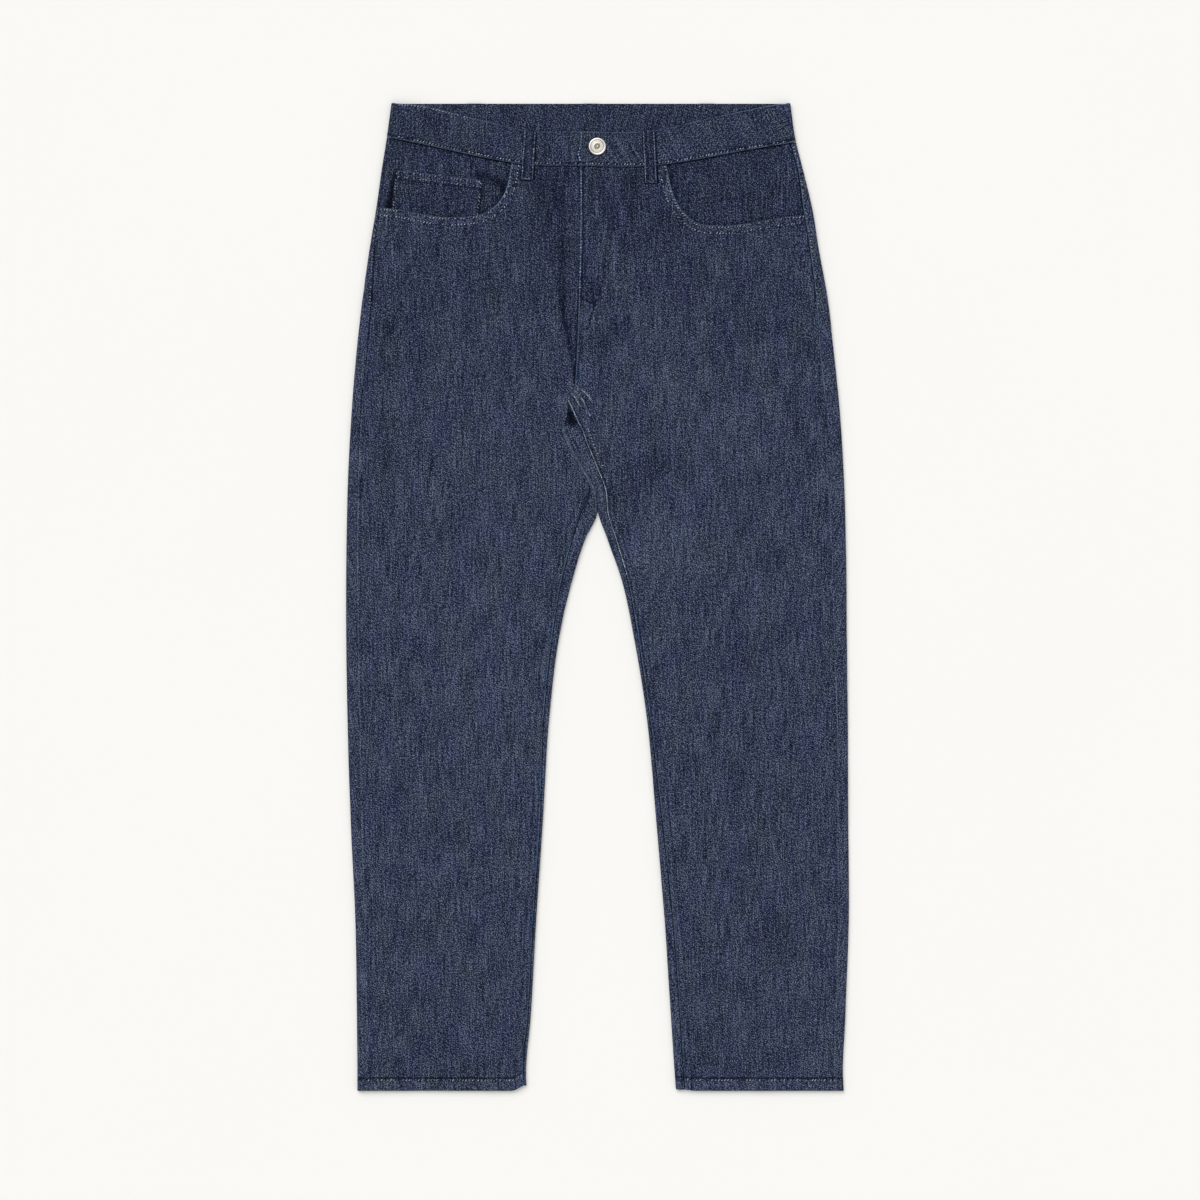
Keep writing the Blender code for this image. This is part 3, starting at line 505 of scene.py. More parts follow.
def inner_wrap(which, down):
    """(edge, end, inward) of the inner end of a back panel: the centre seam in the hips, then the wrap."""
    radius = tube_height(down) / 2
    quarter = 0.5 * math.pi * radius
    edge, inset, inward = inner(which, down)
    centre = smooth(CENTRES, "back", down) + inward * (HALF_SEAM - radius)
    end = np.interp(down, [LEGS_START, INSIDE_FOLD, INSIDE_TOP], [-1.0, 0.0, 1.0]) * quarter
    strip = np.interp(down, [INSIDE_FOLD, INSIDE_CLOSED], [0.0, 1.0]) * (inset - radius - HALF_SEWN)
    # While the end is still under the fold, the fold is set out so that both ends stay together.
    set_out = inward * radius * (1 - np.cos(np.minimum(end, 0) / radius))
    above = down <= CROTCH
    return np.where(above, centre, edge - set_out), np.where(above, -quarter, end + strip), inward


def side_end(which, down):
    """(edge, end, inward) of a back panel at the side seam, its end a distance round the side fold."""
    radius = tube_height(down) / 2
    edge, inset, inward = side(which, down)
    return edge, 0.5 * math.pi * radius + inset - radius - HALF_SEWN, inward


def front_start(which, down):
    edge, inset, inward = side(which, down)
    return edge + inward * (inset + HALF_SEWN)


def front_end(which, down):
    """Across of a front's inner edge: fly edge or lap, centre seam, then the inseam."""
    edge, inset, inward = inner(which, down)
    centre = smooth(CENTRES, "front", down)
    lap = np.interp(down, [FLY_LAP_FOOT, FLY_FOOT], [FLY_LAP, -SEAM]) if which == "right" else HALF_SEAM
    ease_off = CROTCH_EASE * np.interp(down, [CROTCH, LEGS_START, INSIDE_CLOSED, CROTCH_EASED], [0, 1, 1, 0])
    legs = edge + inward * (inset + HALF_SEWN + ease_off)
    hips_and_legs = np.where(down <= CROTCH, centre + lap, legs)
    meeting = (down > PARTINGS[0].down) & (down < PARTINGS[-1].down)
    return np.where(meeting, smooth(PARTINGS, which, down), hips_and_legs)


def fly_dip(across, down):
    """Fall of the right front to pass under the left one at the fly."""
    centre = smooth(CENTRES, "front", down)
    passing = ease(across, centre - FLY_DIP_START, centre - FLY_DIP_FULL)
    return FLY_DIP * passing * (1 - ease(down, FLY_FOOT, FLY_DIP_GONE))


def waist_line(across):
    """Down of the waist seam on the fronts."""
    return smooth(BAND, "foot", across) + SEAM


def mouth_curve(which, count=400):
    """Points of a pocket mouth from the waist seam to the side seam, on a smooth curve through its table."""
    rows = MOUTHS[which]
    at = np.linspace(0, len(rows) - 1, count)
    across, down = smooth(rows, "across", at), smooth(rows, "down", at)
    inward = INWARD[which]
    inside = (down > waist_line(across)) & ((across - front_start(which, down)) * inward > 0)
    return np.stack([across, down], axis=1)[inside]


MOUTH_PATHS = {which: resampled(mouth_curve(which), 60) for which in MOUTHS}


def j_stitch_path(inset):
    """The fly's J stitch: straight down beside the fly, then a quarter curve back to the centre seam."""
    x, foot, sweep = 16.4 - inset, 196.0, 42.0 - inset
    angle = np.linspace(0, math.pi / 2, 18)
    curve = np.stack([x - (x + 18.0) * (1 - np.cos(angle)), foot + sweep * np.sin(angle)], axis=1)
    return np.vstack([[[x, 67.5]], [[x, 120.0]], curve])


# ---------------------------------------------------------------- heights of the fronts


def top_relief(across, down):
    """Folds and swell of the whole upper side, which the strips of back panel there share."""
    swell = 0.22 * waves(across, down, 95, 3) + 0.10 * waves(across, down * 0.6, 34, 4)
    return folded(FOLDS, across, down) + folded(SOFT_FOLDS, across, down) + swell


# Sharp tucks of the left front below the fly and at the crotch, as (across, down) points.
TUCKS = [
    [(-19.5, 206.2), (-14.0, 208.6), (-8.0, 211.4), (-3.5, 211.6), (0.0, 209.6)],
    [(-3.0, 212.5), (-5.2, 222.0), (-9.5, 236.0), (-11.5, 243.0)],
    [(-26.5, 311.0), (-22.4, 316.4), (-18.4, 323.5)],
    [(-21.0, 307.0), (-15.8, 312.6), (-11.2, 321.0), (-8.0, 330.0), (-4.6, 339.0)],
]


def tuck_gap(across, down):
    return np.minimum.reduce([gap_to(tuck, across, down)[0] for tuck in TUCKS])


def side_depth(down):
    """How deep the side seam is: plain beside the pockets, and hardly to be seen along the legs."""
    return np.interp(down, [0, 215, 330, 450, 560], [1.0, 1.0, 0.75, 0.35, 0.15])


def side_shade_strength(down):
    """How dark the painted shade along the side seam is: it weakens below the bartack and goes below the hips.
    """
    return side_depth(down) * (1 - ease(down, 300, 430)) * (1 - 0.5 * ease(down, 212, 218))


def inner_depth(which, down):
    """How deep the centre seam and inseam are: none where the right front rolls to its fold at the crotch."""
    if which == "right":
        return np.interp(down, [292, 302, 400, 412, 560, 1047], [1.0, 0.0, 0.0, 1.0, 1.0, 0.8])
    return np.interp(down, [288, 300, 312, 322, 560, 1047], [1.0, 0.3, 0.3, 1.0, 1.0, 0.8])


def nearest(*lines):
    """(distance, strength) of the nearest of several lines, each given as such a pair."""
    gaps = np.stack(np.broadcast_arrays(*[line[0] for line in lines]))
    depths = np.stack([np.broadcast_to(line[1], gaps.shape[1:]) for line in lines])
    pick = gaps.argmin(axis=0)[None]
    return np.take_along_axis(gaps, pick, 0)[0], np.take_along_axis(depths, pick, 0)[0]


def hem_gap(which, across, down):
    """Distance above the hem, whose line goes by the share from the side seam to the front's inner edge."""
    inward = INWARD[which]
    width = (front_end(which, down) - front_start(which, down)) * inward
    share = np.clip((across - front_start(which, down)) * inward / np.maximum(width, 1), 0, 1)
    return hem_line(which, share) - down


def front_gaps(which, across, down):
    """Distances of points on a front from its own edges, and along those that pucker."""
    inward = INWARD[which]
    mouth, _, mouth_along = gap_to(MOUTH_PATHS[which], across, down)
    return {
        "side": (across - front_start(which, down)) * inward,
        "inner": (front_end(which, down) - across) * inward,
        "waist": down - waist_line(across),
        "hem": hem_gap(which, across, down),
        "mouth": mouth,
        "mouth_along": mouth_along,
    }


def felled(gap, along, width, seed):
    """A felled seam beside its ditch: doubled cloth of a width, two sewn lines sunk in it, and puckers."""
    band = ease(gap, 0.2, 1.6) * (1 - ease(gap, width - 0.8, width + 1.4))
    sewn = bump(gap, SEWN[0], 0.9) + bump(gap, SEWN[1], 0.9)
    pucker = ripple(along, 8.5, seed) * bump(gap, width / 2, width * 0.8)
    return 0.5 * band - 0.2 * sewn + 0.16 * pucker


def front_up(which, across, down):
    """Height of a front's skin: the tube, its folds, seams, pocket hem, leg hem and turned edges."""
    gaps = front_gaps(which, across, down)
    up = tube_height(down) + top_relief(across, down)
    if which == "right":
        up = up - fly_dip(across, down)
    else:
        _, fly, _ = gap_to(j_stitch_path(0), across, down)
        placket = (1 - ease(fly, -1.0, 1.5)) * (1 - ease(down, 232, 244))
        up = up + 0.35 * placket - 0.22 * bump(np.abs(fly), 1.0, 0.9)
        up = up - 0.5 * bump(tuck_gap(across, down), 0, 1.3)
        edge = (1 - ease(down, 240, 300)) * bump(gaps["inner"], 0, 7.0)
        up = up + 0.3 * edge + 0.12 * edge * ripple(down, 9.0, 21)
    in_leg = ease(down, CROTCH + 8, CROTCH + 30)
    up = up + in_leg * felled(gaps["inner"], down, 9.5, 11)
    up = up + (1 - in_leg) * ease(down, 214, 224) * 0.3 * bump(gaps["inner"], 3.0, 3.0)
    up = up + 0.12 * ripple(down, 11.0, 12) * bump(gaps["side"], 3.0, 5.0)
    hip = (1 - ease(gaps["mouth"], 8.2, 10.4)) * (down < 150)
    sewn = (bump(gaps["mouth"], SEWN[0], 0.9) + bump(gaps["mouth"], SEWN[1], 0.9)) * (down < 150)
    pucker = ripple(gaps["mouth_along"], 7.5, 13) * bump(gaps["mouth"], 5.0, 4.0)
    up = up + 0.55 * hip - 0.2 * sewn + 0.14 * pucker
    hem = 1 - ease(gaps["hem"], HEM_DEPTH - 0.6, HEM_DEPTH + 0.8)
    roping = ripple(across + 0.8 * gaps["hem"], 8.0, 14) * bump(gaps["hem"], 7.5, 6.0)
    up = up + HEM_STAND * hem - 0.3 * bump(gaps["hem"], 11.4, 0.9) + 0.24 * roping
    up = up - 0.25 * bump(gaps["hem"], HEM_DEPTH + 2.0, 2.0)
    edge, depth = nearest(
        (gaps["side"], side_depth(down)), (gaps["inner"], inner_depth(which, down)),
        (gaps["waist"] + 0.3, 1.0), (gaps["mouth"] + (down > 150) * FAR, 1.0))
    return up + depth * rolled(edge, 1.5, 0.75) + rolled(gaps["hem"], 1.8, 1.1)


# How rubbed the fly's edge and each inseam are on the way down, as (down, rub).
INNER_RUB = {
    "right": [(296, 0), (330, 0), (408, 0), (470, 0.9), (700, 0.8), (1047, 0.55)],
    "left": [(66, 0.5), (200, 0.5), (212, 0.4), (300, 0.45), (316, 0.8), (430, 0.8), (560, 0.7), (700, 0.4),
             (1047, 0.3)],
}


def front_marks(which, across, down):
    """What the shader draws by: distances to rubbed edges and to lines of painted shade, and the strengths of
    both.
    """
    gaps = front_gaps(which, across, down)
    in_hip = down < 150
    mouth = gaps["mouth"] + np.where(in_hip, 0.0, FAR)
    fly_side = gaps["inner"] + np.where(down < 296 if which == "right" else False, FAR, 0.0)
    edge = np.minimum(mouth, fly_side)
    upright = 1 - ease(gaps["mouth_along"], 35.0, 80.0)
    rub = 0.2 + (0.65 if which == "right" else 0.4) * upright
    hem_line_gap = np.abs(gaps["hem"] - HEM_DEPTH - 0.9)
    # Lines of painted shade: under the waistband, above the hem's turned-up edge, beside the belt loops, along
    # the seams, beside the fly's edge and in the tucks; on the right front, the lap's painted shadow.
    lines = [(gaps["waist"], 1.0), (hem_line_gap, 0.8), (loop_gap(across, down), 2.0)]
    if which == "left":
        beside = np.where(down < 215, 2.7, np.where((down > 316) & (down < 700), 2.5, -FAR))
        lines += [(gaps["side"], side_shade_strength(down)), (np.abs(gaps["inner"] - beside), 0.4),
                  (tuck_gap(across, down), 0.8)]
    else:
        fly_shade = np.abs(smooth(CENTRES, "front", down) - 0.7 - across) + np.where(down > 300, FAR, 0.0)
        lines += [
            (np.where(in_hip, FAR, gaps["side"]), side_shade_strength(down)),
            (fly_shade, 1 - 0.5 * ease(down, 210, 230)),
            (np.where(down > 300, gaps["inner"], FAR), inner_depth(which, down)),
        ]
    rub = np.where(mouth < fly_side, rub, np.interp(down, *zip(*INNER_RUB[which])))
    ditch, shade_strength = nearest(*lines)
    # Sewn rows, which the shader draws darker as painted shade in their grooves.
    rows = (bump(gaps["mouth"], SEWN[0], 0.9) + bump(gaps["mouth"], SEWN[1], 0.9)) * in_hip
    legs = ease(down, 340, 352) if which == "left" else ease(down, 408, 420)
    rows = rows + legs * (bump(gaps["inner"], SEWN[0], 0.9) + bump(gaps["inner"], SEWN[1], 0.9))
    rows = rows + bump(gaps["hem"], 11.4, 0.9)
    if which == "left":
        rows = rows + 0.7 * bump(gaps["inner"], 2.9, 0.8) * (down < 300)
    return {"edge": edge, "rub": rub, "ditch": ditch, "shade_strength": shade_strength, "sewn": rows,
            "fade": shading(across, down, gaps)}


def loop_gap(across, down):
    """Distance outside the nearest front belt loop's outline, for the painted shadow beside it, which reaches
    further on the side away from the key light.
    """
    nearest = np.full(np.broadcast(across, down).shape, FAR)
    for loop in FRONT_LOOPS.values():
        off = across - loop_centre(loop, down)
        aside = np.abs(off) - LOOP_WIDTH / 2 - 0.9 * (off > 0)
        beyond = np.maximum(down - loop.foot, loop.top - down)
        nearest = np.minimum(nearest, np.hypot(np.maximum(aside, 0), np.maximum(beyond, 0)))
    return nearest + 0.15


# The deep soft trough beside the fly, where a shadow is painted, as (across, down) points.
TROUGH = [(-36.5, 100), (-37.2, 160), (-37.3, 209), (-35.4, 230), (-31.5, 248), (-27.4, 266), (-24.6, 290)]

# Fine light streaks beside the fly, where slubs of the warp stand out.
Streak = namedtuple("Streak", "across start stop amount")
STREAKS = [
    Streak(-0.5, 90, 119, 1.0), Streak(7.5, 120, 141, 1.1), Streak(17.6, 140, 197, 1.1),
    Streak(25.0, 106, 121, 1.0), Streak(12.5, 68, 94, 0.8), Streak(-11.5, 76, 128, 0.6),
    Streak(2.5, 150, 190, 0.6), Streak(21.5, 84, 104, 0.7),
]


# Soft patches of the fronts that are lighter, or darker where the amount is negative: uneven fading, and
# painted shade along the creases of the folds.
Patch = namedtuple("Patch", "across down wide tall amount")
PATCHES = [
    Patch(-54, 92, 24, 38, -0.62), Patch(26, 100, 40, 44, -0.52), Patch(-58, 196, 14, 50, -0.12),
    Patch(-10, 165, 9, 26, 0.12), Patch(-6, 200, 14, 20, -0.50), Patch(-13, 318, 6, 10, -0.30),
    Patch(8, 244, 24, 22, -0.38), Patch(92, 188, 40, 44, -0.12), Patch(-14, 232, 6, 14, 0.20),
    Patch(-40, 130, 14, 60, -0.15), Patch(30, 215, 30, 24, 0.10), Patch(80, 145, 14, 34, -0.25),
    Patch(60, 384, 34, 16, -0.50), Patch(30, 412, 22, 16, -0.50), Patch(10, 352, 12, 30, 0.10),
    Patch(70, 250, 50, 40, 0.18), Patch(60, 470, 36, 44, 0.28), Patch(96, 470, 22, 40, 0.15),
    Patch(150, 246, 26, 24, -0.22), Patch(150, 580, 24, 26, -0.16), Patch(150, 720, 16, 30, -0.18),
    Patch(186, 880, 20, 38, -0.24), Patch(120, 1016, 30, 14, -0.28), Patch(196, 1014, 30, 14, -0.24),
    Patch(-206, 260, 26, 60, -0.14), Patch(-228, 360, 10, 90, -0.16), Patch(-130, 180, 60, 40, -0.06),
    Patch(-180, 990, 40, 40, -0.10), Patch(-140, 560, 70, 120, 0.06), Patch(212, 330, 10, 70, -0.26),
    Patch(-100, 640, 40, 90, 0.10), Patch(140, 330, 80, 50, 0.10),
]


def shading(across, down, gaps):
    """How faded the cloth is, with painted shade: patches, some of them painted shade along creases; painted
    shadow in the trough beside the fly; and lighter bands of doubled, rubbed cloth at seams.
    """
    fade = np.zeros(np.broadcast(across, down).shape)
    for patch in PATCHES:
        gap = ((across - patch.across) / patch.wide) ** 2 + ((down - patch.down) / patch.tall) ** 2
        fade = fade + patch.amount * np.exp(-gap)
    for streak in STREAKS:
        long = ease(down, streak.start - 4, streak.start + 4)
        long = long * (1 - ease(down, streak.stop - 4, streak.stop + 4))
        fade = fade + streak.amount * long * bump(across, streak.across, 1.3)
    arcs = np.minimum.reduce([gap_to(line, across, down)[0] for line in CROTCH_LINES])
    fade = fade + 1.3 * bump(arcs, 0.0, 1.2) * (across > -30)
    # Painted shadow in the trough beside the fly: a narrow dark line below the fly's foot and a wider soft
    # shade along it.
    trough, _, _ = gap_to(TROUGH, across, down)
    fade = fade - 0.9 * bump(trough, 0, 1.3) * ease(down, 200, 215)
    fade = fade + 0.6 * bump(tuck_gap(across, down), 2.6, 1.2) * (down < 300) * (across > -22)
    fade = fade - 0.85 * bump(trough, 0, 4.4) * (0.45 + 0.55 * ease(down, 110, 180)) * ease(down, 85, 115) * (
        1 - 0.6 * ease(down, 225, 265))
    pocket_hem = (1 - ease(gaps["mouth"], 7.5, 10.0)) * (down < 150)
    hem = 1 - ease(gaps["hem"], HEM_DEPTH - 1.0, HEM_DEPTH)
    inseam = ease(gaps["inner"], 0.4, 1.6) * (1 - ease(gaps["inner"], 9.0, 11.5)) * ease(down, 420, 470)
    outseam = (bump(gaps["side"], 0.6, 1.3) - 0.45 * bump(gaps["side"], 3.2, 1.3)) * ease(down, 214, 240)
    roping = ripple(across + 0.8 * gaps["hem"], 8.0, 14) * hem
    felled_rows = bump(gaps["inner"], 1.9, 0.8) * ease(down, 420, 470)
    hips = 1 - ease(down, 180, 330)
    return fade + 0.20 * pocket_hem + 0.15 * hem + 0.2 * inseam + 0.75 * outseam - 0.16 * hips - 0.04 + (
        0.3 * roping + 0.5 * felled_rows)


# ---------------------------------------------------------------- shells of cloth


def normals_of(points):
    """Unit normals of a grid of points: the cross product of its two gradients."""
    along_rows = np.gradient(points, axis=0)
    along_columns = np.gradient(points, axis=1)
    normal = np.cross(along_columns, along_rows)
    return normal / np.maximum(np.linalg.norm(normal, axis=2, keepdims=True), 1e-9)


def quads(rows, columns):
    first = (np.arange(rows - 1)[:, None] * columns + np.arange(columns - 1)).ravel()
    return np.stack([first, first + columns, first + columns + 1, first + 1], axis=1)


def rim(rows, columns):
    """Indices round the boundary of a grid, in order."""
    top = np.arange(columns)
    right = np.arange(1, rows) * columns + columns - 1
    bottom = (rows - 1) * columns + np.arange(columns - 2, -1, -1)
    left = np.arange(rows - 2, 0, -1) * columns
    return np.concatenate([top, right, bottom, left])


def mesh_object(name, points, faces, material, attributes=None):
    """A mesh from arrays in metres, shaded smooth, with its point attributes."""
    mesh = bpy.data.meshes.new(name)
    mesh.from_pydata(points.tolist(), [], faces.tolist())
    for key, value in (attributes or {}).items():
        if value.ndim == 2:
            layer = mesh.attributes.new(key, "FLOAT_VECTOR", "POINT")
            layer.data.foreach_set("vector", value.astype(np.float32).ravel())
        else:
            layer = mesh.attributes.new(key, "FLOAT", "POINT")
            layer.data.foreach_set("value", value.astype(np.float32).ravel())
    mesh.shade_smooth()
    mesh.materials.append(material)
    obj = bpy.data.objects.new(name, mesh)
    bpy.context.scene.collection.objects.link(obj)
    return obj


def cloth_shell(name, node, across, down, up, thickness, material, marks, grain, outward):
    """A closed shell: the grid of the outer skin, the same grid moved in by the thickness, and a rim.

    outward is 1 where columns then rows turn the way that faces the skin out, and -1 where they don't.
    """
    if outward < 0:
        across, down, up = across[:, ::-1], down[:, ::-1], up[:, ::-1]
        grain = grain[:, ::-1]
        marks = {key: value[:, ::-1] for key, value in marks.items()}
        thickness = thickness[:, ::-1] if np.ndim(thickness) else thickness
    points = np.stack([across, LENGTH / 2 - down, up], axis=-1) * MM
    rows, columns = across.shape
    # Rows run against Y, so the normal of (columns x rows) points away from the skin.
    normal = -normals_of(points)
    thick = np.broadcast_to(thickness, across.shape)[..., None] * MM
    inside = points - normal * thick
    face = quads(rows, columns)
    count = rows * columns
    edge = rim(rows, columns)
    following = np.roll(edge, -1)
    band = np.stack([edge, edge + count, following + count, following], axis=1)
    faces = np.vstack([face, face[:, ::-1] + count, band[:, ::-1]])
    attributes = {"grain": np.tile(grain.reshape(-1, 3), (2, 1))}
    for key, value in marks.items():
        attributes[key] = np.tile(np.broadcast_to(value, across.shape).ravel(), 2)
    both = np.vstack([points.reshape(-1, 3), inside.reshape(-1, 3)])
    obj = mesh_object(name, both, faces, material, attributes)
    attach(obj, BODY)
    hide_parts(node)
    return obj


def grain_of(across, down, shift):
    """Cloth coordinates in millimetres, moved so that no two panels share a yarn."""
    across, down = np.broadcast_arrays(across, down)
    return np.stack([across + shift[0], down + shift[1], np.full(across.shape, float(shift[2]))], axis=-1)


def plain_marks(shape, **given):
    marks = {"edge": np.full(shape, FAR), "rub": np.full(shape, 0.5), "ditch": np.full(shape, FAR),
             "shade_strength": np.ones(shape), "sewn": np.zeros(shape), "fade": np.zeros(shape)}
    marks.update(given)
    return marks


GRAIN_SHIFTS = {
    "front_right": (0, 0, 0), "front_left": (311, 147, 40), "back_right": (-523, 61, 80),
    "back_left": (613, -233, 120), "yoke_right": (97, 811, 160), "yoke_left": (-151, 907, 200),
    "waistband": (41, -67, 240), "facing_right": (17, 29, 280), "facing_left": (-31, 53, 320),
    "coin": (71, 13, 360), "pocket_right": (-11, 37, 400), "pocket_left": (23, -19, 440), "loops": (5, 7, 480),
}


def front_grid(which):
    """(across, down) of a front's grid.

    The upper patch runs from the pocket mouth and waist seam to a level row, on straight columns bent by
    the difference between the panel's true edges and straight ones. Below it rows are level to the hem.
    """
    inward = INWARD[which]
    foot = FRONT_PATCH_FOOT
    width = float(front_end(which, np.array(foot)) - front_start(which, np.array(foot))) * inward
    mouth = mouth_curve(which)[::-1]
    corner_x = mouth[-1][0]
    # Close columns where the belt loop's foot lies, moved along with the columns' tops and feet.
    reach_in = (corner_x - float(front_start(which, np.array(foot)))) * inward + 2
    waist_run = (float(front_end(which, np.array(70.0))) - corner_x) * inward
    loop_at = (FRONT_LOOPS["loop_front_" + which].foot_across - corner_x) * inward + LOOP_CLUSTER
    close_offsets = reach_in + (width - reach_in) * loop_at / waist_run
    close_share = (close_offsets - EDGE_STEPS[-1]) / (width - EDGE_STEPS[-1] - INNER_STEPS[-1])
    even = np.linspace(0, 1, FRONT_COLUMNS + 1)[1:-1]
    even = even[(even < close_share[0] - 0.004) | (even > close_share[-1] + 0.004)]
    middle = np.sort(np.concatenate([even, close_share]))
    offsets = spread(width, EDGE_STEPS, INNER_STEPS, middle)
    level_x = front_start(which, np.array(foot)) + inward * offsets
    corner = int(np.argmin(np.abs(level_x - corner_x - inward * 2)))
    mouth_share = np.clip((offsets[: corner + 1] - offsets[0]) / (offsets[corner] - offsets[0]), 0, 1)
    at = arc(mouth)
    mouth_x = np.interp(mouth_share * at[-1], at, mouth[:, 0])
    mouth_d = np.interp(mouth_share * at[-1], at, mouth[:, 1])
    end_x = float(front_end(which, np.array(70.0)))
    waist_share = (offsets[corner:] - offsets[corner]) / (offsets[-1] - offsets[corner])
    waist_x = mouth_x[-1] + (end_x - mouth_x[-1]) * waist_share
    top_x = np.concatenate([mouth_x, waist_x[1:]])
    top_d = np.concatenate([mouth_d, waist_line(waist_x[1:])])
    reach = np.hypot(level_x - top_x, foot - top_d)
    places = spread(reach, EDGE_STEPS, FOOT_STEPS, 42)
    share = (places / reach[:, None]).T
    down = top_d + (foot - top_d) * share
    across = top_x + (level_x - top_x) * share
    u = (offsets - offsets[0]) / (offsets[-1] - offsets[0])
    straight_start = across[:, :1]
    straight_end = across[:, -1:]
    bend_start = front_start(which, down[:, :1]) - straight_start
    bend_end = front_end(which, down[:, -1:]) - straight_end
    across = across + bend_start * (1 - u) ** 6 + bend_end * u ** 6
    first, last, close = CLOSE_ROWS
    hem_start = LENGTH - HEM_STEPS[-1]
    level = np.concatenate([
        np.arange(*TUCK_ROWS), np.arange(TUCK_ROWS[1], first - 1, ROW_STEP), np.arange(first, last, close),
        np.linspace(last, hem_start, int((hem_start - last) / ROW_STEP)), LENGTH - HEM_STEPS[-2::-1],
    ])
    lower_width = (front_end(which, level) - front_start(which, level)) * inward
    lower = spread(lower_width, EDGE_STEPS, INNER_STEPS, middle)
    lower_across = front_start(which, level)[:, None] + inward * lower
    lower_down = to_hem(which, lower / lower_width[:, None], level[:, None])
    return np.vstack([across, lower_across]), np.vstack([down, lower_down])


def make_front(which, material):
    across, down = front_grid(which)
    up = front_up(which, across, down)
    hem = LENGTH - down
    thickness = DENIM + (HEM_CLOTH - DENIM) * (1 - ease(hem, HEM_DEPTH, HEM_DEPTH + 2))
    name = "front_" + which
    return cloth_shell(
        "cloth_" + name, name, across, down, up, thickness, material,
        front_marks(which, across, down), grain_of(across, down, GRAIN_SHIFTS[name]),
        INWARD[which])


def back_section(which, down, stops):
    """(across, up) of a back panel: stops are distances in from its inner end, and then from its side end.

    down has one row to each grid row and stops one column to each grid column, as (from inner, from side).
    """
    edge, end, inward = inner_wrap(which, down)
    radius = tube_height(down) / 2
    inner_across, inner_up = round_fold(edge, inward, radius, end - stops[0])
    edge, end, inward = side_end(which, down)
    outer_across, outer_up = round_fold(edge, inward, radius, end - stops[1])
    return inner_across, inner_up, outer_across, outer_up


WRAP_STEPS = np.concatenate([EDGE_STEPS, [13.0, 14.5, 16.5, 18.5, 21.0, 24.0, 27.5]])


def back_surface(which, down):
    """(across, up, distance from the inner end, distance from the side end) on rows of columns of downs.

    The first columns follow the inner wrap, the last the side wrap, and the rest run even between them.
    """
    count = len(WRAP_STEPS)
    middle = BACK_COLUMNS - 1
    columns = 2 * count + middle
    inner_steps = WRAP_STEPS
    outer_steps = WRAP_STEPS[::-1]
    share = np.linspace(0, 1, BACK_COLUMNS + 1)[1:-1]
    a, b, _, _ = back_section(which, down[:, :count], (inner_steps, 0.0))
    _, _, c, d = back_section(which, down[:, -count:], (0.0, outer_steps))
    start, _, _, _ = back_section(which, down[:, count:-count], (inner_steps[-1], 0.0))
    _, _, stop, _ = back_section(which, down[:, count:-count], (0.0, outer_steps[0]))
    under = start + (stop - start) * share
    across = np.concatenate([a, under, c], axis=1)
    up = np.concatenate([b, np.zeros_like(under), d], axis=1)
    assert across.shape[1] == columns
    from_inner = np.concatenate([np.broadcast_to(inner_steps, a.shape), np.full(under.shape, 40.0),
                                 np.full(c.shape, FAR)], axis=1)
    from_side = np.concatenate([np.full(a.shape, FAR), np.full(under.shape, 40.0),
                                np.broadcast_to(outer_steps, c.shape)], axis=1)
    return across, up, from_inner, from_side


def back_width_share():
    """Share of the width, from the centre to the side seam, at each column of the back's grid."""
    count = len(WRAP_STEPS)
    return np.concatenate([np.zeros(count), np.linspace(0, 1, BACK_COLUMNS + 1)[1:-1], np.ones(count)])


def yoke_line(which):
    """Down of the yoke seam at each column: a V, deepest at the centre back and level round the side."""
    shares = back_width_share()
    level = np.full((1, len(shares)), YOKE_SIDE_FOOT)
    across, up, _, _ = back_surface(which, level)
    edge = smooth(SIDES, which + "_edge", level)
    centre = smooth(CENTRES, "back", level)
    share = np.clip((across - centre) / (edge - centre), 0, 1)
    depth = np.where(up > 0, 0.0, 1.0 - share)
    return (YOKE_SIDE_FOOT + (YOKE_CENTRE_FOOT - YOKE_SIDE_FOOT) * depth)[0]


def pocket_corners(which):
    """(across, down) corners of a back pocket, from its inner top corner on past its outer one."""
    at = {}
    for down in (BACK_POCKET_TOP, BACK_POCKET_CORNER):
        centre = float(smooth(CENTRES, "back", down))
        edge = float(smooth(SIDES, which + "_edge", down))
        at[down] = [centre + (edge - centre) * share for share in BACK_POCKET_SPAN]
    top, corner = at[BACK_POCKET_TOP], at[BACK_POCKET_CORNER]
    return np.array([
        (top[0], BACK_POCKET_TOP), (top[1], BACK_POCKET_TOP), (corner[1], BACK_POCKET_CORNER),
        (sum(corner) / 2, BACK_POCKET_POINT), (corner[0], BACK_POCKET_CORNER),
    ])


def pocket_lift(which, across, down):
    """Rise of the back panel over its patch pocket: 1 over the pocket and a margin, 0 away from it."""
    centre = smooth(CENTRES, "back", down)
    edge = smooth(SIDES, which + "_edge", down)
    share = (across - centre) / (edge - centre)
    sides = np.interp(share, BACK_POCKET_SHARES, [0, 1, 1, 0])
    return sides * np.interp(down, BACK_POCKET_RAMPS, [0, 1, 1, 0])


def under_relief(across, down):
    """Creases of the underside: the cloth stands off the surface by up to a millimetre, never below it."""
    swell = 0.12 + 0.12 * waves(across, down, 120, 7)
    return np.maximum(folded(UNDER_FOLDS, across, down) + swell, 0)


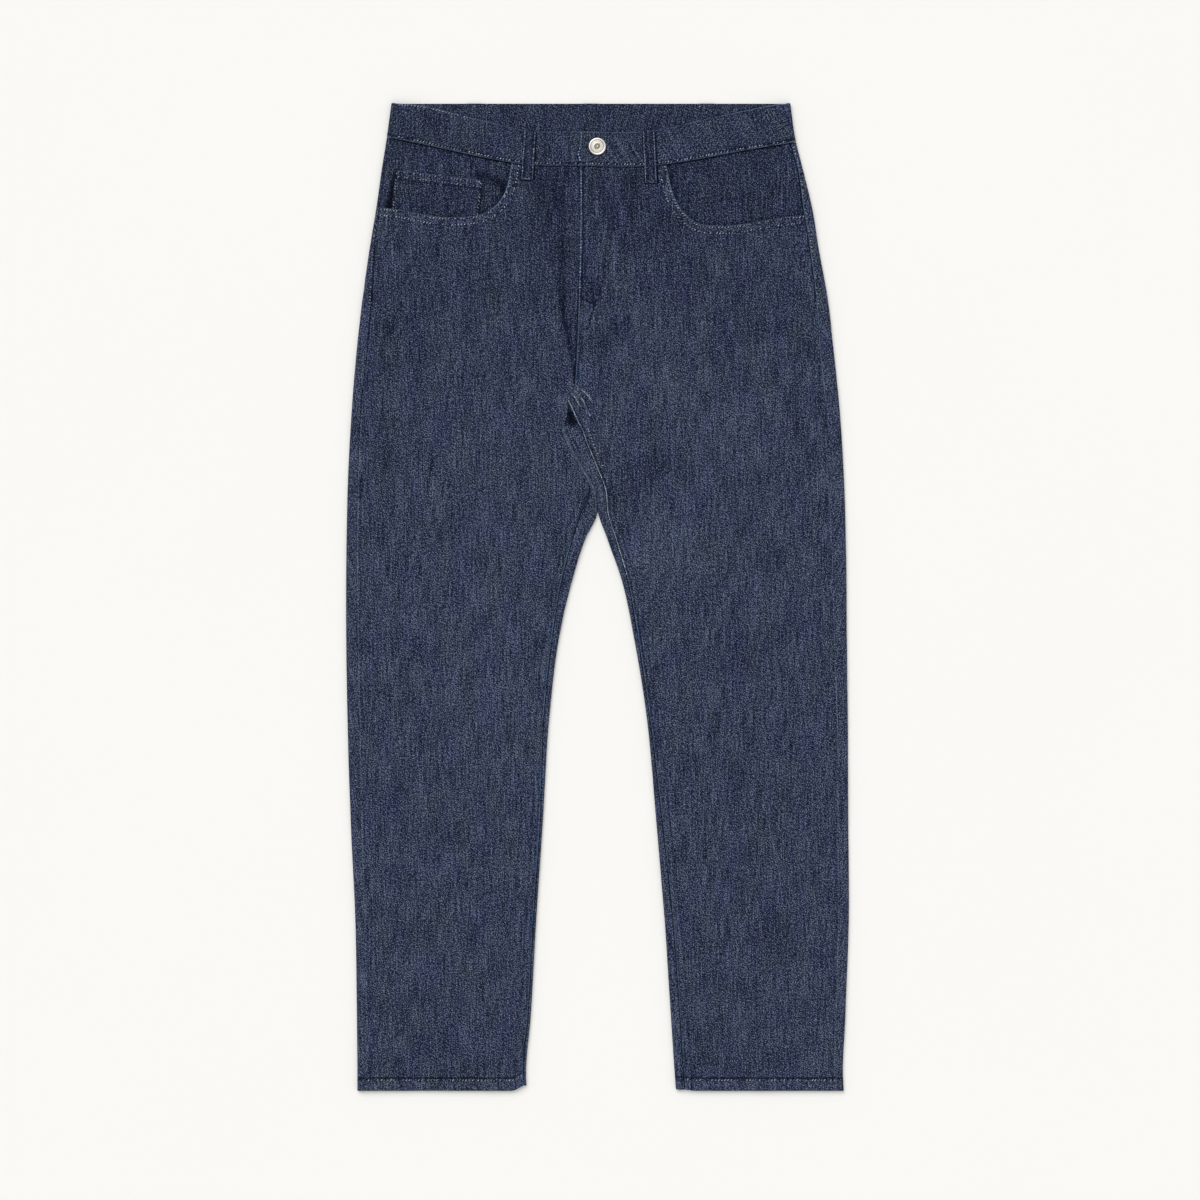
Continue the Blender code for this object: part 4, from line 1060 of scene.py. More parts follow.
def back_up(which, across, down, up, from_inner, from_side):
    """Height of a back panel's skin: creases and hem on the underside, seams and rounding on top."""
    height = tube_height(down)
    top = ease(up, height * 0.55, height * 0.98)
    flat = 1 - ease(up, 0.0, height * 0.25)
    up = up + flat * (under_relief(across, down) * (1 - pocket_lift(which, across, down)))
    up = up + UNDER_LIFT * flat * pocket_lift(which, across, down)
    up = up + top * top_relief(across, down)
    hem = 1 - ease(hem_gap(which, across, down), HEM_DEPTH - 0.6, HEM_DEPTH + 0.8)
    roping = 0.2 * ripple(across + 0.8 * (LENGTH - down), 8.0, 15) * bump(LENGTH - down, 7.5, 6.0)
    up = up + top * (HEM_STAND * hem + roping)
    seam, depth = nearest(
        (from_inner + (down < CROTCH) * FAR, inner_depth(which, down)), (from_side, side_depth(down)))
    up = up + top * (depth * rolled(seam, 1.5, 0.75) + 0.1 * ripple(down, 10, 16) * bump(seam, 3, 4))
    hole = Fold(-27.5, 329, -28.0, 340, 3.4, -2.6)
    up = up + 0.35 * top * pucker_ridges(across, down) * bump(from_inner, 8.0, 9.0)
    return up + top * folded([hole], across, down)


def back_rows(start):
    """Downs of a back panel's rows below its head: close at the crotch and at the hem."""
    first, last = CROTCH_ROWS[:2]
    hem_start = LENGTH - HEM_STEPS[-1]
    return np.concatenate([
        np.arange(start, first - 1, BACK_ROW_STEP), np.arange(*CROTCH_ROWS),
        np.linspace(last, hem_start, int((hem_start - last) / BACK_ROW_STEP)), LENGTH - HEM_STEPS[-2::-1],
    ])


def pucker_ridges(across, down):
    """Slanted ridges, about 0 to 1, on the strip of back panel below the crotch."""
    place = (0.75 * down + 0.66 * across) / 6.5 + 0.35 * waves(across, down, 24, 71)
    extent = ease(down, 332, 344) * (1 - ease(down, 388, 408))
    return extent * np.maximum(np.sin(2 * math.pi * place), 0) ** 2


def make_back(which, material):
    head = yoke_line(which) + HALF_SEAM
    shares = back_width_share()
    join = 130.0
    upper_share = spread(np.array(1.0), EDGE_STEPS / 30, np.array([0.0]), 10)
    upper = head + (join - head) * upper_share[:, None]
    level = back_rows(join)[1:]
    hem_across = back_surface(which, np.full((1, len(shares)), LENGTH))[0]
    rise = -hem_gap(which, hem_across, np.full(hem_across.shape, LENGTH))
    lower = level[:, None] - rise * np.clip((level[:, None] - HEM_LEVEL) / (LENGTH - HEM_LEVEL), 0, 1)
    down = np.vstack([upper, lower])
    across, up, from_inner, from_side = back_surface(which, down)
    up = back_up(which, across, down, up, from_inner, from_side)
    hem = hem_gap(which, across, down)
    up = up + rolled(hem, 1.8, 0.8) * ease(up, 1.5, 4.0)
    thickness = DENIM + (HEM_CLOTH - DENIM) * (1 - ease(hem, HEM_DEPTH, HEM_DEPTH + 2))
    height = tube_height(down)
    silhouette = bump(up, height * 0.5, height * 0.42)
    # Painted shade: the hollow where the legs part under the crotch is drawn nearly black.
    hole = np.exp(-((across + 28.2 + 0.2 * (334 - down)) / (2.1 + 0.17 * np.clip(down - 324, 0, 14))) ** 2
                  - ((down - 334.5) / 8.5) ** 4)
    fade = 0.22 * silhouette + 0.12 * (1 - ease(hem, HEM_DEPTH - 1, HEM_DEPTH))
    fade = fade - 3.6 * hole * (down > LEGS_START)
    # On the left leg's strip, painted highlight along the pucker ridges, and the strip a little darker around
    # them.
    if which == "left":
        dull = 0.1 * ease(down, 330, 344) * (1 - ease(down, 420, 450))
        fade = fade + (0.75 * pucker_ridges(across, down) - dull) * bump(from_inner, 8.0, 9.0)
    # Lines of painted shade along the inseam and side seam, above the hem's turned-up edge and below the yoke
    # seam.
    ditch, shade_strength = nearest(
        (np.where(down > (318 if which == "left" else 404), from_inner, FAR), inner_depth(which, down)),
        (np.where(down > 196, from_side, FAR), side_shade_strength(down)),
        (np.abs(hem - HEM_DEPTH - 0.9), 0.8), (down - head, 1.0))
    # Along the right leg's inner fold below the crotch, a dotted light line: partly rubbed edge, partly painted
    # highlight where the fold catches the light.
    fold_line = 0.75 * np.abs(from_inner - np.maximum(inner_wrap(which, down)[1] - 2.4, 0.5))
    edge = np.where((down > 320) & (down < 420) & (which == "right"), fold_line, FAR)
    edge = np.where((down < 330) & (which == "left"), from_side, edge)
    rub = np.where((down > 320) & (down < 420), 0.25, 0.6)
    beads = bump(fold_line, 0.4, 1.3) * (0.7 + 0.9 * waves(across, down, 4.0, 72)) * (down > 318)
    fade = fade + 0.7 * beads * (1 - ease(down, 400, 425)) * (which == "right")
    rows = bump(from_side, SEWN[0], 0.9) * (down < 214)
    rows = rows + bump(hem, 11.4, 0.9)
    marks = {"edge": edge, "rub": rub, "ditch": ditch, "shade_strength": shade_strength, "sewn": rows, "fade": fade}
    name = "back_" + which
    along = np.cumsum(np.pad(np.hypot(np.diff(across, axis=1), np.diff(up, axis=1)), ((0, 0), (1, 0))), axis=1)
    return cloth_shell(
        "cloth_" + name, name, across, down, up, thickness, material, marks,
        grain_of(along, down, GRAIN_SHIFTS[name]), INWARD[which])


def band_foot_under(which, across, up):
    """Down of the waistband's lower edge round the side and across the back."""
    front = smooth(BAND, "foot", across)
    edge = smooth(SIDES, which + "_edge", np.full(np.shape(across), YOKE_LEVEL))
    share = np.clip(np.abs(across - edge) / BAND_FOOT_RUN, 0, 1)
    sides = BAND[0].foot if which == "right" else BAND[-1].foot
    return np.where(up > 0, np.minimum(front, sides + 2.0), sides + (BAND_BACK_FOOT - sides) * share)


def make_yoke(which, material):
    foot = yoke_line(which)
    level = np.full((1, len(foot)), YOKE_LEVEL)
    across, up, _, _ = back_surface(which, level)
    head = band_foot_under(which, across, up)[0] + 2 * SEAM
    share = spread(np.array(1.0), EDGE_STEPS / 36, EDGE_STEPS / 36, 8)
    down = head + (foot - HALF_SEAM - head) * share[:, None]
    across, up, from_inner, from_side = back_surface(which, down)
    foot_gap = foot - HALF_SEAM - down
    height = tube_height(down)
    up = up + (1 - ease(up, 0.0, height * 0.25)) * under_relief(across, down) * 0.5
    up = up + ease(up, height * 0.55, height * 0.98) * rolled(from_side, 1.5, 0.75)
    side_gap = from_side + (FAR if which == "right" else 0)
    # Lines of painted shade along the yoke's seams all round.
    marks = plain_marks(
        down.shape, edge=side_gap, fade=0.2 * bump(up, 2.8, 2.4),
        ditch=np.minimum.reduce([foot_gap, down - head, from_inner, side_gap]))
    name = "yoke_" + which
    return cloth_shell(
        "cloth_" + name, name, across, down, up, DENIM, material, marks,
        grain_of(across, down, GRAIN_SHIFTS[name]), INWARD[which])


def underside_edge(gap):
    """Rise of a turned edge on the underside, where the cloth's rounding goes up."""
    return -rolled(gap, 1.2, 0.5)


def make_back_pocket(which, material):
    """A plain five-sided patch pocket under the back panel: a ruled surface from its top to its point."""
    corners = pocket_corners(which)
    share = spread(np.array(130.0), EDGE_STEPS, EDGE_STEPS, 16) / 130.0
    top = corners[0] + (corners[1] - corners[0]) * share[:, None]
    halves = np.interp(share, [0, 0.5, 1], [0, 1, 2])[:, None]
    bottom = np.where(halves < 1, corners[4] + (corners[3] - corners[4]) * halves,
                      corners[3] + (corners[2] - corners[3]) * (halves - 1))
    fall = (spread(np.array(140.0), EDGE_STEPS, EDGE_STEPS, 18) / 140.0)[:, None, None]
    points = top + (bottom - top) * fall
    across, down = points[..., 0], points[..., 1]
    closed = np.vstack([corners, corners[:1]])
    gap, _, along = gap_to(closed, across, down)
    from_top = down - BACK_POCKET_TOP
    hemmed = 1 - ease(from_top, 24.0, 26.0)
    up = 0.25 * (1 - hemmed) + 0.12 + 0.08 * waves(across, down, 60, 41)
    up = up + underside_edge(gap) + 0.12 * bump(gap, 2.2, 0.9) + 0.08 * ripple(along, 7.0, 42) * bump(gap, 3, 3)
    name = "back_pocket_" + which
    marks = plain_marks(across.shape, edge=gap, fade=0.3 * bump(gap, 0, 5.0))
    return cloth_shell(
        "cloth_" + name, name, across, down, np.maximum(up, 0), POCKET_CLOTH - 0.15, material, marks,
        grain_of(across, down, GRAIN_SHIFTS["pocket_" + which]), INWARD[which])


# ---------------------------------------------------------------- pocket facings and the coin pocket


def facing_up(across, down):
    """Height of a facing's skin: it rises to meet the waist and side seams and sinks in the middle."""
    near_waist = 1 - ease(down - waist_line(across), -4.0, 24.0)
    right_side = across - front_start("right", down)
    left_side = front_start("left", down) - across
    near_side = 1 - ease(np.minimum(right_side, left_side), 0.5, 12.0)
    up = FACING_BASE + POCKET_CLOTH + 1.15 * near_waist + 0.12 * waves(across, down, 46, 31)
    return up + (tube_height(down) - 0.25 - up) * near_side


def make_facing(which, material):
    """The cloth seen through a pocket mouth: a ruled surface from under the waistband to under the front."""
    inward = INWARD[which]
    at = np.linspace(0, len(MOUTHS[which]) - 1, 17)
    mouth = np.stack([smooth(MOUTHS[which], "across", at), smooth(MOUTHS[which], "down", at)], axis=1)
    under = set_off(mouth, -inward * FACING_MARGIN)[:-3]
    side_x = float(front_start(which, FACING_TOP)) + inward * HALF_SEAM
    outer, inner_end = FACING_TOP_INSETS
    top_x = np.linspace(under[0][0] - inward * inner_end, side_x + inward * (outer - FACING_INSET), 12)
    top_d = np.maximum(smooth(BAND, "foot", top_x) - FACING_MARGIN, BAND_BACK_FOOT + FACING_CLEAR[which])
    top = np.vstack([np.stack([top_x, top_d], axis=1), [[side_x, FACING_TOP]]])
    foot_d = under[-1][1]
    foot_x = float(front_start(which, foot_d)) + inward * HALF_SEAM
    top, bottom = resampled(top, 72), resampled(np.vstack([under, [[foot_x, foot_d + 0.5]]]), 72)
    points = top + (bottom - top) * np.linspace(0, 1, 36)[:, None, None]
    across, down = points[..., 0], points[..., 1]
    # The outer columns are bent to follow the side seam.
    bend = front_start(which, down[:, -1:]) + inward * HALF_SEAM - across[:, -1:]
    across = across + bend * np.linspace(0, 1, 72)[None, :] ** 5
    mouth_gap, _, _ = gap_to(MOUTH_PATHS[which], across, down)
    # Painted shade inside the pocket: darker towards the mouth's edge and just under the waistband.
    fade = -0.06 - 0.42 * (1 - ease(mouth_gap, 0, 9.0))
    fade = fade - 0.15 * (1 - ease(down - waist_line(across), 0.5, 4.0))
    # On the right, painted shadow beside both sides of the coin pocket, deepest low down on its left, and along
    # the pocket's fold, with a lighter strip further out.
    if which == "right":
        coin, _, _ = gap_to(np.array(COIN_POCKET, float)[[5, 0]], across, down)
        beside, _, _ = gap_to(np.array(COIN_POCKET, float)[[1, 2]], across, down)
        shadow, _, _ = gap_to(POCKET_SHADOW, across, down)
        deep = bump(coin, 0.8, 1.7 + 2.3 * ease(down, 80, 106)) * ease(down, 69, 84)
        fade = fade - 3.0 * deep - 0.3 * bump(beside, 1.0, 4.0) - 1.2 * bump(shadow, 0, 4.4)
        fade = fade + 0.35 * bump(coin, 7.5, 3.5)
    name = "pocket_facing_" + which
    # Lines of painted shade under the waistband and, on the left, along the side seam.
    seam = np.abs(across - front_start(which, down)) + (FAR if which == "right" else 0.0)
    ditch = np.minimum(np.maximum(down - waist_line(across), 0), seam)
    marks = plain_marks(across.shape, fade=fade, ditch=ditch)
    return cloth_shell(
        "cloth_" + name, name, across, down, facing_up(across, down), POCKET_CLOTH, material,
        marks, grain_of(across, down, GRAIN_SHIFTS["facing_" + which]),
        -INWARD[which])


# The painted shadow of a fold inside the right pocket, from the coin pocket's corner to the mouth, as (across,
# down) points.
POCKET_SHADOW = [(-126, 76), (-114, 79), (-105, 84), (-99, 91), (-97, 100)]


def coin_gaps(across, down):
    """(down from the top hem's edge, distance from the nearest side) on the coin pocket."""
    first, second = COIN_POCKET[0], COIN_POCKET[1]
    top = np.interp(across, [first.across, second.across], [first.down, second.down])
    left, _, _ = gap_to([COIN_POCKET[0], COIN_POCKET[5]], across, down)
    right, _, _ = gap_to([COIN_POCKET[1], COIN_POCKET[2]], across, down)
    return down - top, np.minimum(left, right)


def coin_up(across, down):
    """Height of the coin pocket's skin: laid on the facing, with a doubled hem and turned sides."""
    from_top, from_side = coin_gaps(across, down)
    up = COIN_BASE + POCKET_CLOTH + 0.14 * waves(across, down, 40, 51) - 0.25
    up = up + 0.5 * (1 - ease(from_top, 7.5, 9.0))
    up = up - 0.2 * bump(from_top, 1.8, 0.8) - 0.2 * bump(from_top, 6.6, 0.8)
    up = up + 0.14 * ripple(across, 7.0, 52) * bump(from_top, 4.0, 3.5) - 0.15 * bump(from_side, 1.8, 0.8)
    return up + rolled(np.minimum(from_top, from_side), 1.2, 0.6)


# Width and drop of the coin pocket, by which its columns and rows are spaced.
COIN_SPAN = (94.0, 44.0)


def make_coin_pocket(material):
    """The coin pocket on the right facing: a ruled surface from its hem down to under the front."""
    top = resampled([COIN_POCKET[0], COIN_POCKET[1]], 2)
    wide, tall = COIN_SPAN
    share = spread(np.array(wide), EDGE_STEPS[:-2], EDGE_STEPS[:-2], 26) / wide
    top = top[0] + (top[1] - top[0]) * share[:, None]
    foot = np.array([COIN_POCKET[5], COIN_POCKET[4], COIN_POCKET[3], COIN_POCKET[2]], float)
    at = arc(foot) / arc(foot)[-1]
    bottom = np.stack([np.interp(share, at, foot[:, 0]), np.interp(share, at, foot[:, 1])], axis=1)
    fall = (spread(np.array(tall), EDGE_STEPS, np.array([0.0]), 14) / tall)[:, None, None]
    points = top + (bottom - top) * fall
    across, down = points[..., 0], points[..., 1]
    from_top, from_side = coin_gaps(across, down)
    mouth_gap, _, _ = gap_to(MOUTH_PATHS["right"], across, down)
    # The hem is lighter, and the cloth near the front's mouth darker as painted shade under that edge.
    fade = 0.34 * (1 - ease(from_top, 7.0, 9.0)) - 0.25 * (1 - ease(mouth_gap, 0, 10.0))
    fade = fade - 0.08 + 0.15 * bump(from_side, 0.0, 2.0)
    rows = bump(from_top, 1.9, 0.9) + bump(from_top, 7.0, 0.9) + bump(from_side, 1.9, 0.9)
    # Lines of painted shade below the hem's turned edge and along the sides.
    marks = plain_marks(
        across.shape, edge=from_top + 0.2, rub=np.full(across.shape, 0.34), fade=fade, sewn=rows,
        ditch=np.minimum(np.abs(from_top - 9.6) + 0.3, from_side + 0.2))
    return cloth_shell(
        "cloth_coin_pocket", "coin_pocket", across, down, coin_up(across, down), POCKET_CLOTH - 0.2, material,
        marks, grain_of(across, down, GRAIN_SHIFTS["coin"]), 1)


# ---------------------------------------------------------------- waistband and belt loops

BAND_TOP_SEWN = 1.5
BAND_FOOT_SEWN = 2.5
BAND_SHARES = spread(np.array(36.0), EDGE_STEPS[:-2], EDGE_STEPS[:-2], 8) / 36.0


def band_up(which, across, down):
    """Height of the waistband's skin on the front: doubled cloth with sewn lines near both edges."""
    from_top = down - smooth(BAND, "top", across)
    from_foot = smooth(BAND, "foot", across) - down
    near = np.minimum(from_top, from_foot)
    up = BAND_HEIGHT + 0.16 * waves(across, down, 50, 61) + rolled(near, 1.6, 0.9)
    up = up - 0.1 * bump(from_top, BAND_TOP_SEWN + 0.3, 0.8) - 0.25 * bump(from_foot, BAND_FOOT_SEWN, 0.8)
    up = up + 0.15 * ripple(across, 8.5, 62) * bump(from_foot, 3.0, 4.0)
    up = up + 0.10 * ripple(across, 9.5, 63) * bump(from_top, 3.0, 4.0)
    if which == "right":
        return up - BAND_DIP * ease(across, *BAND_DIP_SPAN)
    return up - 0.5 * (1 - ease(across - lap_edge(down), 0, 1.6))


# End of the waistband's lap at the fly, a little wavy where the buttonhole pulls it.
Lap = namedtuple("Lap", "down across")
LAPS = [
    Lap(0, -17.7), Lap(30, -17.7), Lap(40, -18.1), Lap(48, -19.3), Lap(54.5, -20.9), Lap(58.5, -19.6),
    Lap(66.6, -19.0), Lap(70, -18.8),
]


def lap_edge(down):
    """Across of the lap's end at the fly."""
    return smooth(LAPS, "across", down)


def loop_lift(across):
    """1 over each back belt loop and 0 clear of it, with a soft ramp between."""
    lift = np.zeros(np.shape(across))
    for centre in BACK_LOOPS.values():
        lift = np.maximum(lift, 1 - ease(np.abs(across - centre), *BACK_LOOP_RAMP))
    return lift


def make_band(material):
    """The waistband: one loop of columns from the underlap round the back to the lap over it."""
    shares = BAND_SHARES[:, None]
    radius = BAND_HEIGHT / 2
    quarter = 0.5 * math.pi * radius
    turns = np.linspace(quarter, -quarter, 9)[None, :]
    places = {}
    for which, start in (("right", UNDERLAP_END), ("left", lap_edge)):
        foot = BAND[0].foot if which == "right" else BAND[-1].foot
        fold_down = BAND_TOP + (foot - BAND_TOP) * shares
        edge, _, inward = side(which, fold_down)
        fold_across, fold_up = round_fold(edge, inward, radius, turns)
        start = start(fold_down) if callable(start) else start + 0 * fold_down
        reach = np.abs(fold_across[:, :1] - start)
        loop = FRONT_LOOPS["loop_front_" + which]
        begin, stop = EDGE_STEPS[6], float(reach.mean()) - 2.5
        close = (np.abs(loop_centre(loop, 47.0) - float(start.mean())) + LOOP_CLUSTER - begin) / (stop - begin)
        even = np.linspace(0, 1, 73)[1:-1]
        middle = np.sort(np.concatenate([even[(even < close[0]) | (even > close[-1])], close]))
        run = spread(reach[:, 0], EDGE_STEPS[:7], np.array([2.5]), middle)
        across = start - inward * run
        top, bottom = smooth(BAND, "top", across), smooth(BAND, "foot", across)
        down = top + (bottom - top) * shares
        front = (across, down, band_up(which, across, down))
        fold = (fold_across, fold_down * np.ones_like(fold_across), fold_up)
        places[which] = (front, fold)
    start, stop = places["right"][1][0][:, -1:], places["left"][1][0][:, -1:]
    across = start + (stop - start) * np.linspace(0, 1, 170)[None, 1:-1]
    foot = np.where(across < 0, band_foot_under("right", across, 0.0), band_foot_under("left", across, 0.0))
    down = BAND_TOP + (foot - BAND_TOP) * shares
    lift = loop_lift(across)
    up = UNDER_LIFT * lift + 0.08 * (1 - lift)
    near = np.minimum(down - BAND_TOP, foot - down)
    back = (across, down, up + underside_edge(near) * (1 - lift))
    parts = [
        places["right"][0], places["right"][1], back,
        [grid[:, ::-1] for grid in places["left"][1]], [grid[:, ::-1] for grid in places["left"][0]],
    ]
    across, down, up = (np.concatenate([part[k] for part in parts], axis=1) for k in range(3))
    thin = np.concatenate([np.zeros_like(parts[0][0]), np.zeros_like(parts[1][0]), lift,
                           np.zeros_like(parts[3][0]), np.zeros_like(parts[4][0])], axis=1)
    under = np.concatenate([np.zeros_like(parts[0][0]), np.zeros_like(parts[1][0]), np.ones_like(lift),
                            np.zeros_like(parts[3][0]), np.zeros_like(parts[4][0])], axis=1)
    last = len(parts[4][0][0])
    from_lap = np.full(across.shape, FAR)
    from_lap[:, -last:] = (across - lap_edge(down))[:, -last:]
    depth = 36.0 * np.ones_like(across)
    from_top, from_foot = shares * depth, (1 - shares) * depth
    edge = np.minimum.reduce([from_top + 0.2 + under * 90, from_foot + 0.2 + under * 90, from_lap])
    rub = np.where(from_lap < 4, 0.7, 0.5)
    rows = (0.5 * bump(from_top, 1.5, 0.8) + 1.7 * bump(from_foot, BAND_FOOT_SEWN, 0.8)) * (1 - under)
    streak = bump(across, -48.2, 1.8) * ease(down, 36, 42) + bump(across, -26.5, 1.8) * ease(down, 50, 55)
    fade = 0.05 * bump(from_foot, 0, 3.0) + 0.3 * bump(from_lap, 1.0, 2.0) + 0.4 * streak
    fade = fade - 0.14 * (1 - ease(across, -30.0, -10.0)) - 0.04
    fade = fade * (1 - under) - 0.22 * under
    # Painted shadow beside the belt loops, and on the underlap just beyond the lap's end.
    beside_loops = loop_gap(across, down) + under * 90
    past_lap = np.full(across.shape, FAR)
    first = len(parts[0][0][0])
    past_lap[:, :first] = np.abs(across - lap_edge(down) + 0.8)[:, :first]
    marks = plain_marks(across.shape, edge=edge, rub=rub, fade=fade, sewn=rows,
                        ditch=np.minimum(beside_loops, past_lap))
    along = np.cumsum(np.pad(np.hypot(np.diff(across, axis=1), np.diff(up, axis=1)), ((0, 0), (1, 0))), axis=1)
    thickness = BAND_CLOTH - (BAND_CLOTH - LOOP_CLOTH) * thin
    return cloth_shell(
        "cloth_waistband", "waistband", across, down, up, thickness, material, marks,
        grain_of(along, down, GRAIN_SHIFTS["waistband"]), -1)


def loop_centre(loop, down):
    """Across of a front loop's middle: it leans a little from its top to its foot."""
    share = (down - loop.top) / (loop.foot - loop.top)
    return loop.top_across + (loop.foot_across - loop.top_across) * share


def loop_up(name, across, down):
    """Height of a front loop: on the waistband, down its step and sewn to the front, foot turned under."""
    loop = FRONT_LOOPS[name]
    which = "right" if loop.top_across < 0 else "left"
    off = across - loop_centre(loop, down)
    gap = LOOP_WIDTH / 2 - np.abs(off)
    front = front_up(which, across, down)
    up = BAND_HEIGHT + (front - BAND_HEIGHT) * ease(down, LOOP_STEP[0] - 1.5, LOOP_STEP[1])
    up = up + SEAM + LOOP_CLOTH + 0.75 * ease(down, loop.foot - 5.0, loop.foot - 3.2)
    up = up + 0.22 * bump(gap, 1.0, 1.3) - 0.12 * bump(off, 0, 2.0) + rolled(gap, 1.2, 0.7)
    return up + rolled(np.minimum(down - loop.top, loop.foot - down), 1.4, 0.8)


def make_front_loop(name, material):
    loop = FRONT_LOOPS[name]
    share = spread(np.array(loop.foot - loop.top), EDGE_STEPS, EDGE_STEPS, 18)
    down = loop.top + share[:, None] * np.ones((1, 19))
    off = (spread(np.array(LOOP_WIDTH), EDGE_STEPS[:7], EDGE_STEPS[:7], 6) - LOOP_WIDTH / 2)[None, :]
    across = loop_centre(loop, down) + off
    gap = LOOP_WIDTH / 2 - np.abs(off) + 0 * down
    marks = plain_marks(across.shape, edge=np.minimum(gap + 0.2, loop.foot - down + 0.3),
                        rub=np.full(across.shape, 0.5), sewn=0.8 * bump(gap, 2.4, 0.9),
                        fade=-0.62 + 0.8 * bump(gap, 0.9, 0.9) + 0.35 * bump(off, 0.0, 2.2))
    return cloth_shell(
        "cloth_" + name, name, across, down, loop_up(name, across, down), LOOP_CLOTH - 0.1, material,
        marks, grain_of(across, down, GRAIN_SHIFTS["loops"]), 1)


def make_back_loop(name, material):
    """A belt loop between the back waistband and the surface: a flat strip with turned edges."""
    centre = BACK_LOOPS[name]
    fall = spread(np.array(BACK_LOOP_FOOT - BACK_LOOP_TOP), EDGE_STEPS, EDGE_STEPS, 8)
    off = spread(np.array(LOOP_WIDTH), EDGE_STEPS[:7], EDGE_STEPS[:7], 6) - LOOP_WIDTH / 2
    across = centre + off[None, :] + 0 * fall[:, None]
    down = BACK_LOOP_TOP + fall[:, None] + 0 * across
    gap = LOOP_WIDTH / 2 - np.abs(across - centre)
    ends = np.minimum(down - BACK_LOOP_TOP, BACK_LOOP_FOOT - down)
    up = 0.15 * (1 - bump(gap, 1.0, 1.3)) + underside_edge(np.minimum(gap, ends)) * 0.8
    marks = plain_marks(across.shape, edge=gap + 0.2)
    return cloth_shell(
        "cloth_" + name, name, across, down, up, LOOP_CLOTH - 0.2, material, marks,
        grain_of(across, down, GRAIN_SHIFTS["loops"]), -1)


# ---------------------------------------------------------------- button

Turn = namedtuple("Turn", "number radius height")
BUTTON = [
    Turn(0, 0.0, 2.0), Turn(1, 0.8, 1.9), Turn(2, 1.2, 0.9), Turn(3, 2.6, 0.85), Turn(4, 3.1, 1.7),
    Turn(5, 3.6, 1.9), Turn(6, 4.1, 1.75), Turn(7, 5.0, 1.7), Turn(8, 5.7, 1.72), Turn(9, 6.2, 1.6),
    Turn(10, 6.7, 1.5), Turn(11, 7.1, 1.8), Turn(12, 7.7, 2.12), Turn(13, 8.3, 2.15), Turn(14, 8.9, 1.85),
    Turn(15, 9.2, 1.2), Turn(16, 9.0, 0.5), Turn(17, 8.2, 0.1), Turn(18, 6.0, 0.0), Turn(19, 3.0, 0.0),
    Turn(20, 0.0, 0.0),
]


def make_button(material):
    """The shank button: a smooth curve through its turned profile, carried round in even steps."""
    at = np.linspace(0, len(BUTTON) - 1, 101)
    radius, height = smooth(BUTTON, "radius", at)[1:-1], smooth(BUTTON, "height", at)[1:-1]
    angle = np.linspace(0, 2 * math.pi, 96, endpoint=False)
    across = BUTTON_AT[0] + np.outer(radius, np.cos(angle))
    down = BUTTON_AT[1] - np.outer(radius, np.sin(angle))
    up = BAND_HEIGHT + SEAM + 0.1 + np.outer(height, np.ones_like(angle))
    points = np.stack([across, LENGTH / 2 - down, up], axis=-1).reshape(-1, 3)
    poles = [[BUTTON_AT[0], LENGTH / 2 - BUTTON_AT[1], BAND_HEIGHT + SEAM + 0.1 + h]
             for h in (BUTTON[0].height, BUTTON[-1].height)]
    count, rings = len(angle), len(radius)
    here = np.arange(count)
    following = (here + 1) % count
    first = (np.arange(rings - 1)[:, None] * count)
    corners = [first + here, first + count + here, first + count + following, first + following]
    sides = np.stack(corners, axis=-1)
    faces = sides.reshape(-1, 4).tolist()
    middle, base = rings * count, (rings - 1) * count
    faces += np.stack([np.full(count, middle), here, following], axis=1).tolist()
    faces += np.stack([np.full(count, middle + 1), base + following, base + here], axis=1).tolist()
    mesh = bpy.data.meshes.new("button_metal")
    mesh.from_pydata((np.vstack([points, poles]) * MM).tolist(), [], faces)
    mesh.shade_smooth()
    mesh.materials.append(material)
    obj = bpy.data.objects.new("button_metal", mesh)
    bpy.context.scene.collection.objects.link(obj)
    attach(obj, BODY)
    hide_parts("button")
    return obj


# ---------------------------------------------------------------- stitching

Run = namedtuple("Run", "path height facing")

# How uneven stitches are: their place as a part of the gap, their lengths' range, and the most that they stray
# sideways and lie deep, in millimetres.
Uneven = namedtuple("Uneven", "place length aside depth")
UNEVEN = Uneven(0.16, (0.7, 1.2), 0.1, 0.9)

# Length, gap, slant and width of stitches unlike the topstitching, in millimetres.
STRETCHED = (2.4, 0.1, 0.0, 0.95)
LOOP_STITCH = (2.0, 1.2, 0.3, 0.9)
OVERCAST = (1.6, 1.55, 0.4, 1.8)


def stitch_points(run, length, gap, slant):
    """Four points along each stitch of a run, in mm: askew, and uneven in place, length and depth."""
    path = np.asarray(run.path, float)
    at = arc(path)
    count = max(int(at[-1] // (length + gap)), 1)
    chance = np.random.default_rng(count)
    middle = (np.arange(count) + 0.5) * at[-1] / count + UNEVEN.place * gap * chance.normal(size=count)
    long = length * chance.uniform(*UNEVEN.length, count)[:, None]
    stops = middle[:, None] + np.array([-0.5, -0.3, 0.3, 0.5]) * long
    across = np.interp(stops, at, path[:, 0])
    down = np.interp(stops, at, path[:, 1])
    ahead = np.stack([across[:, -1] - across[:, 0], down[:, -1] - down[:, 0]])
    ahead = ahead / np.maximum(np.linalg.norm(ahead, axis=0), 1e-6)
    aside = slant * (stops - middle[:, None]) + UNEVEN.aside * chance.normal(size=count)[:, None]
    across, down = across - ahead[1][:, None] * aside, down + ahead[0][:, None] * aside
    deep = UNEVEN.depth * chance.random(count)[:, None] ** 3
    up = run.height(across, down) + run.facing * (np.array([-0.22, 0.10, 0.10, -0.22]) - deep)
    return np.stack([across, LENGTH / 2 - down, up], axis=-1)


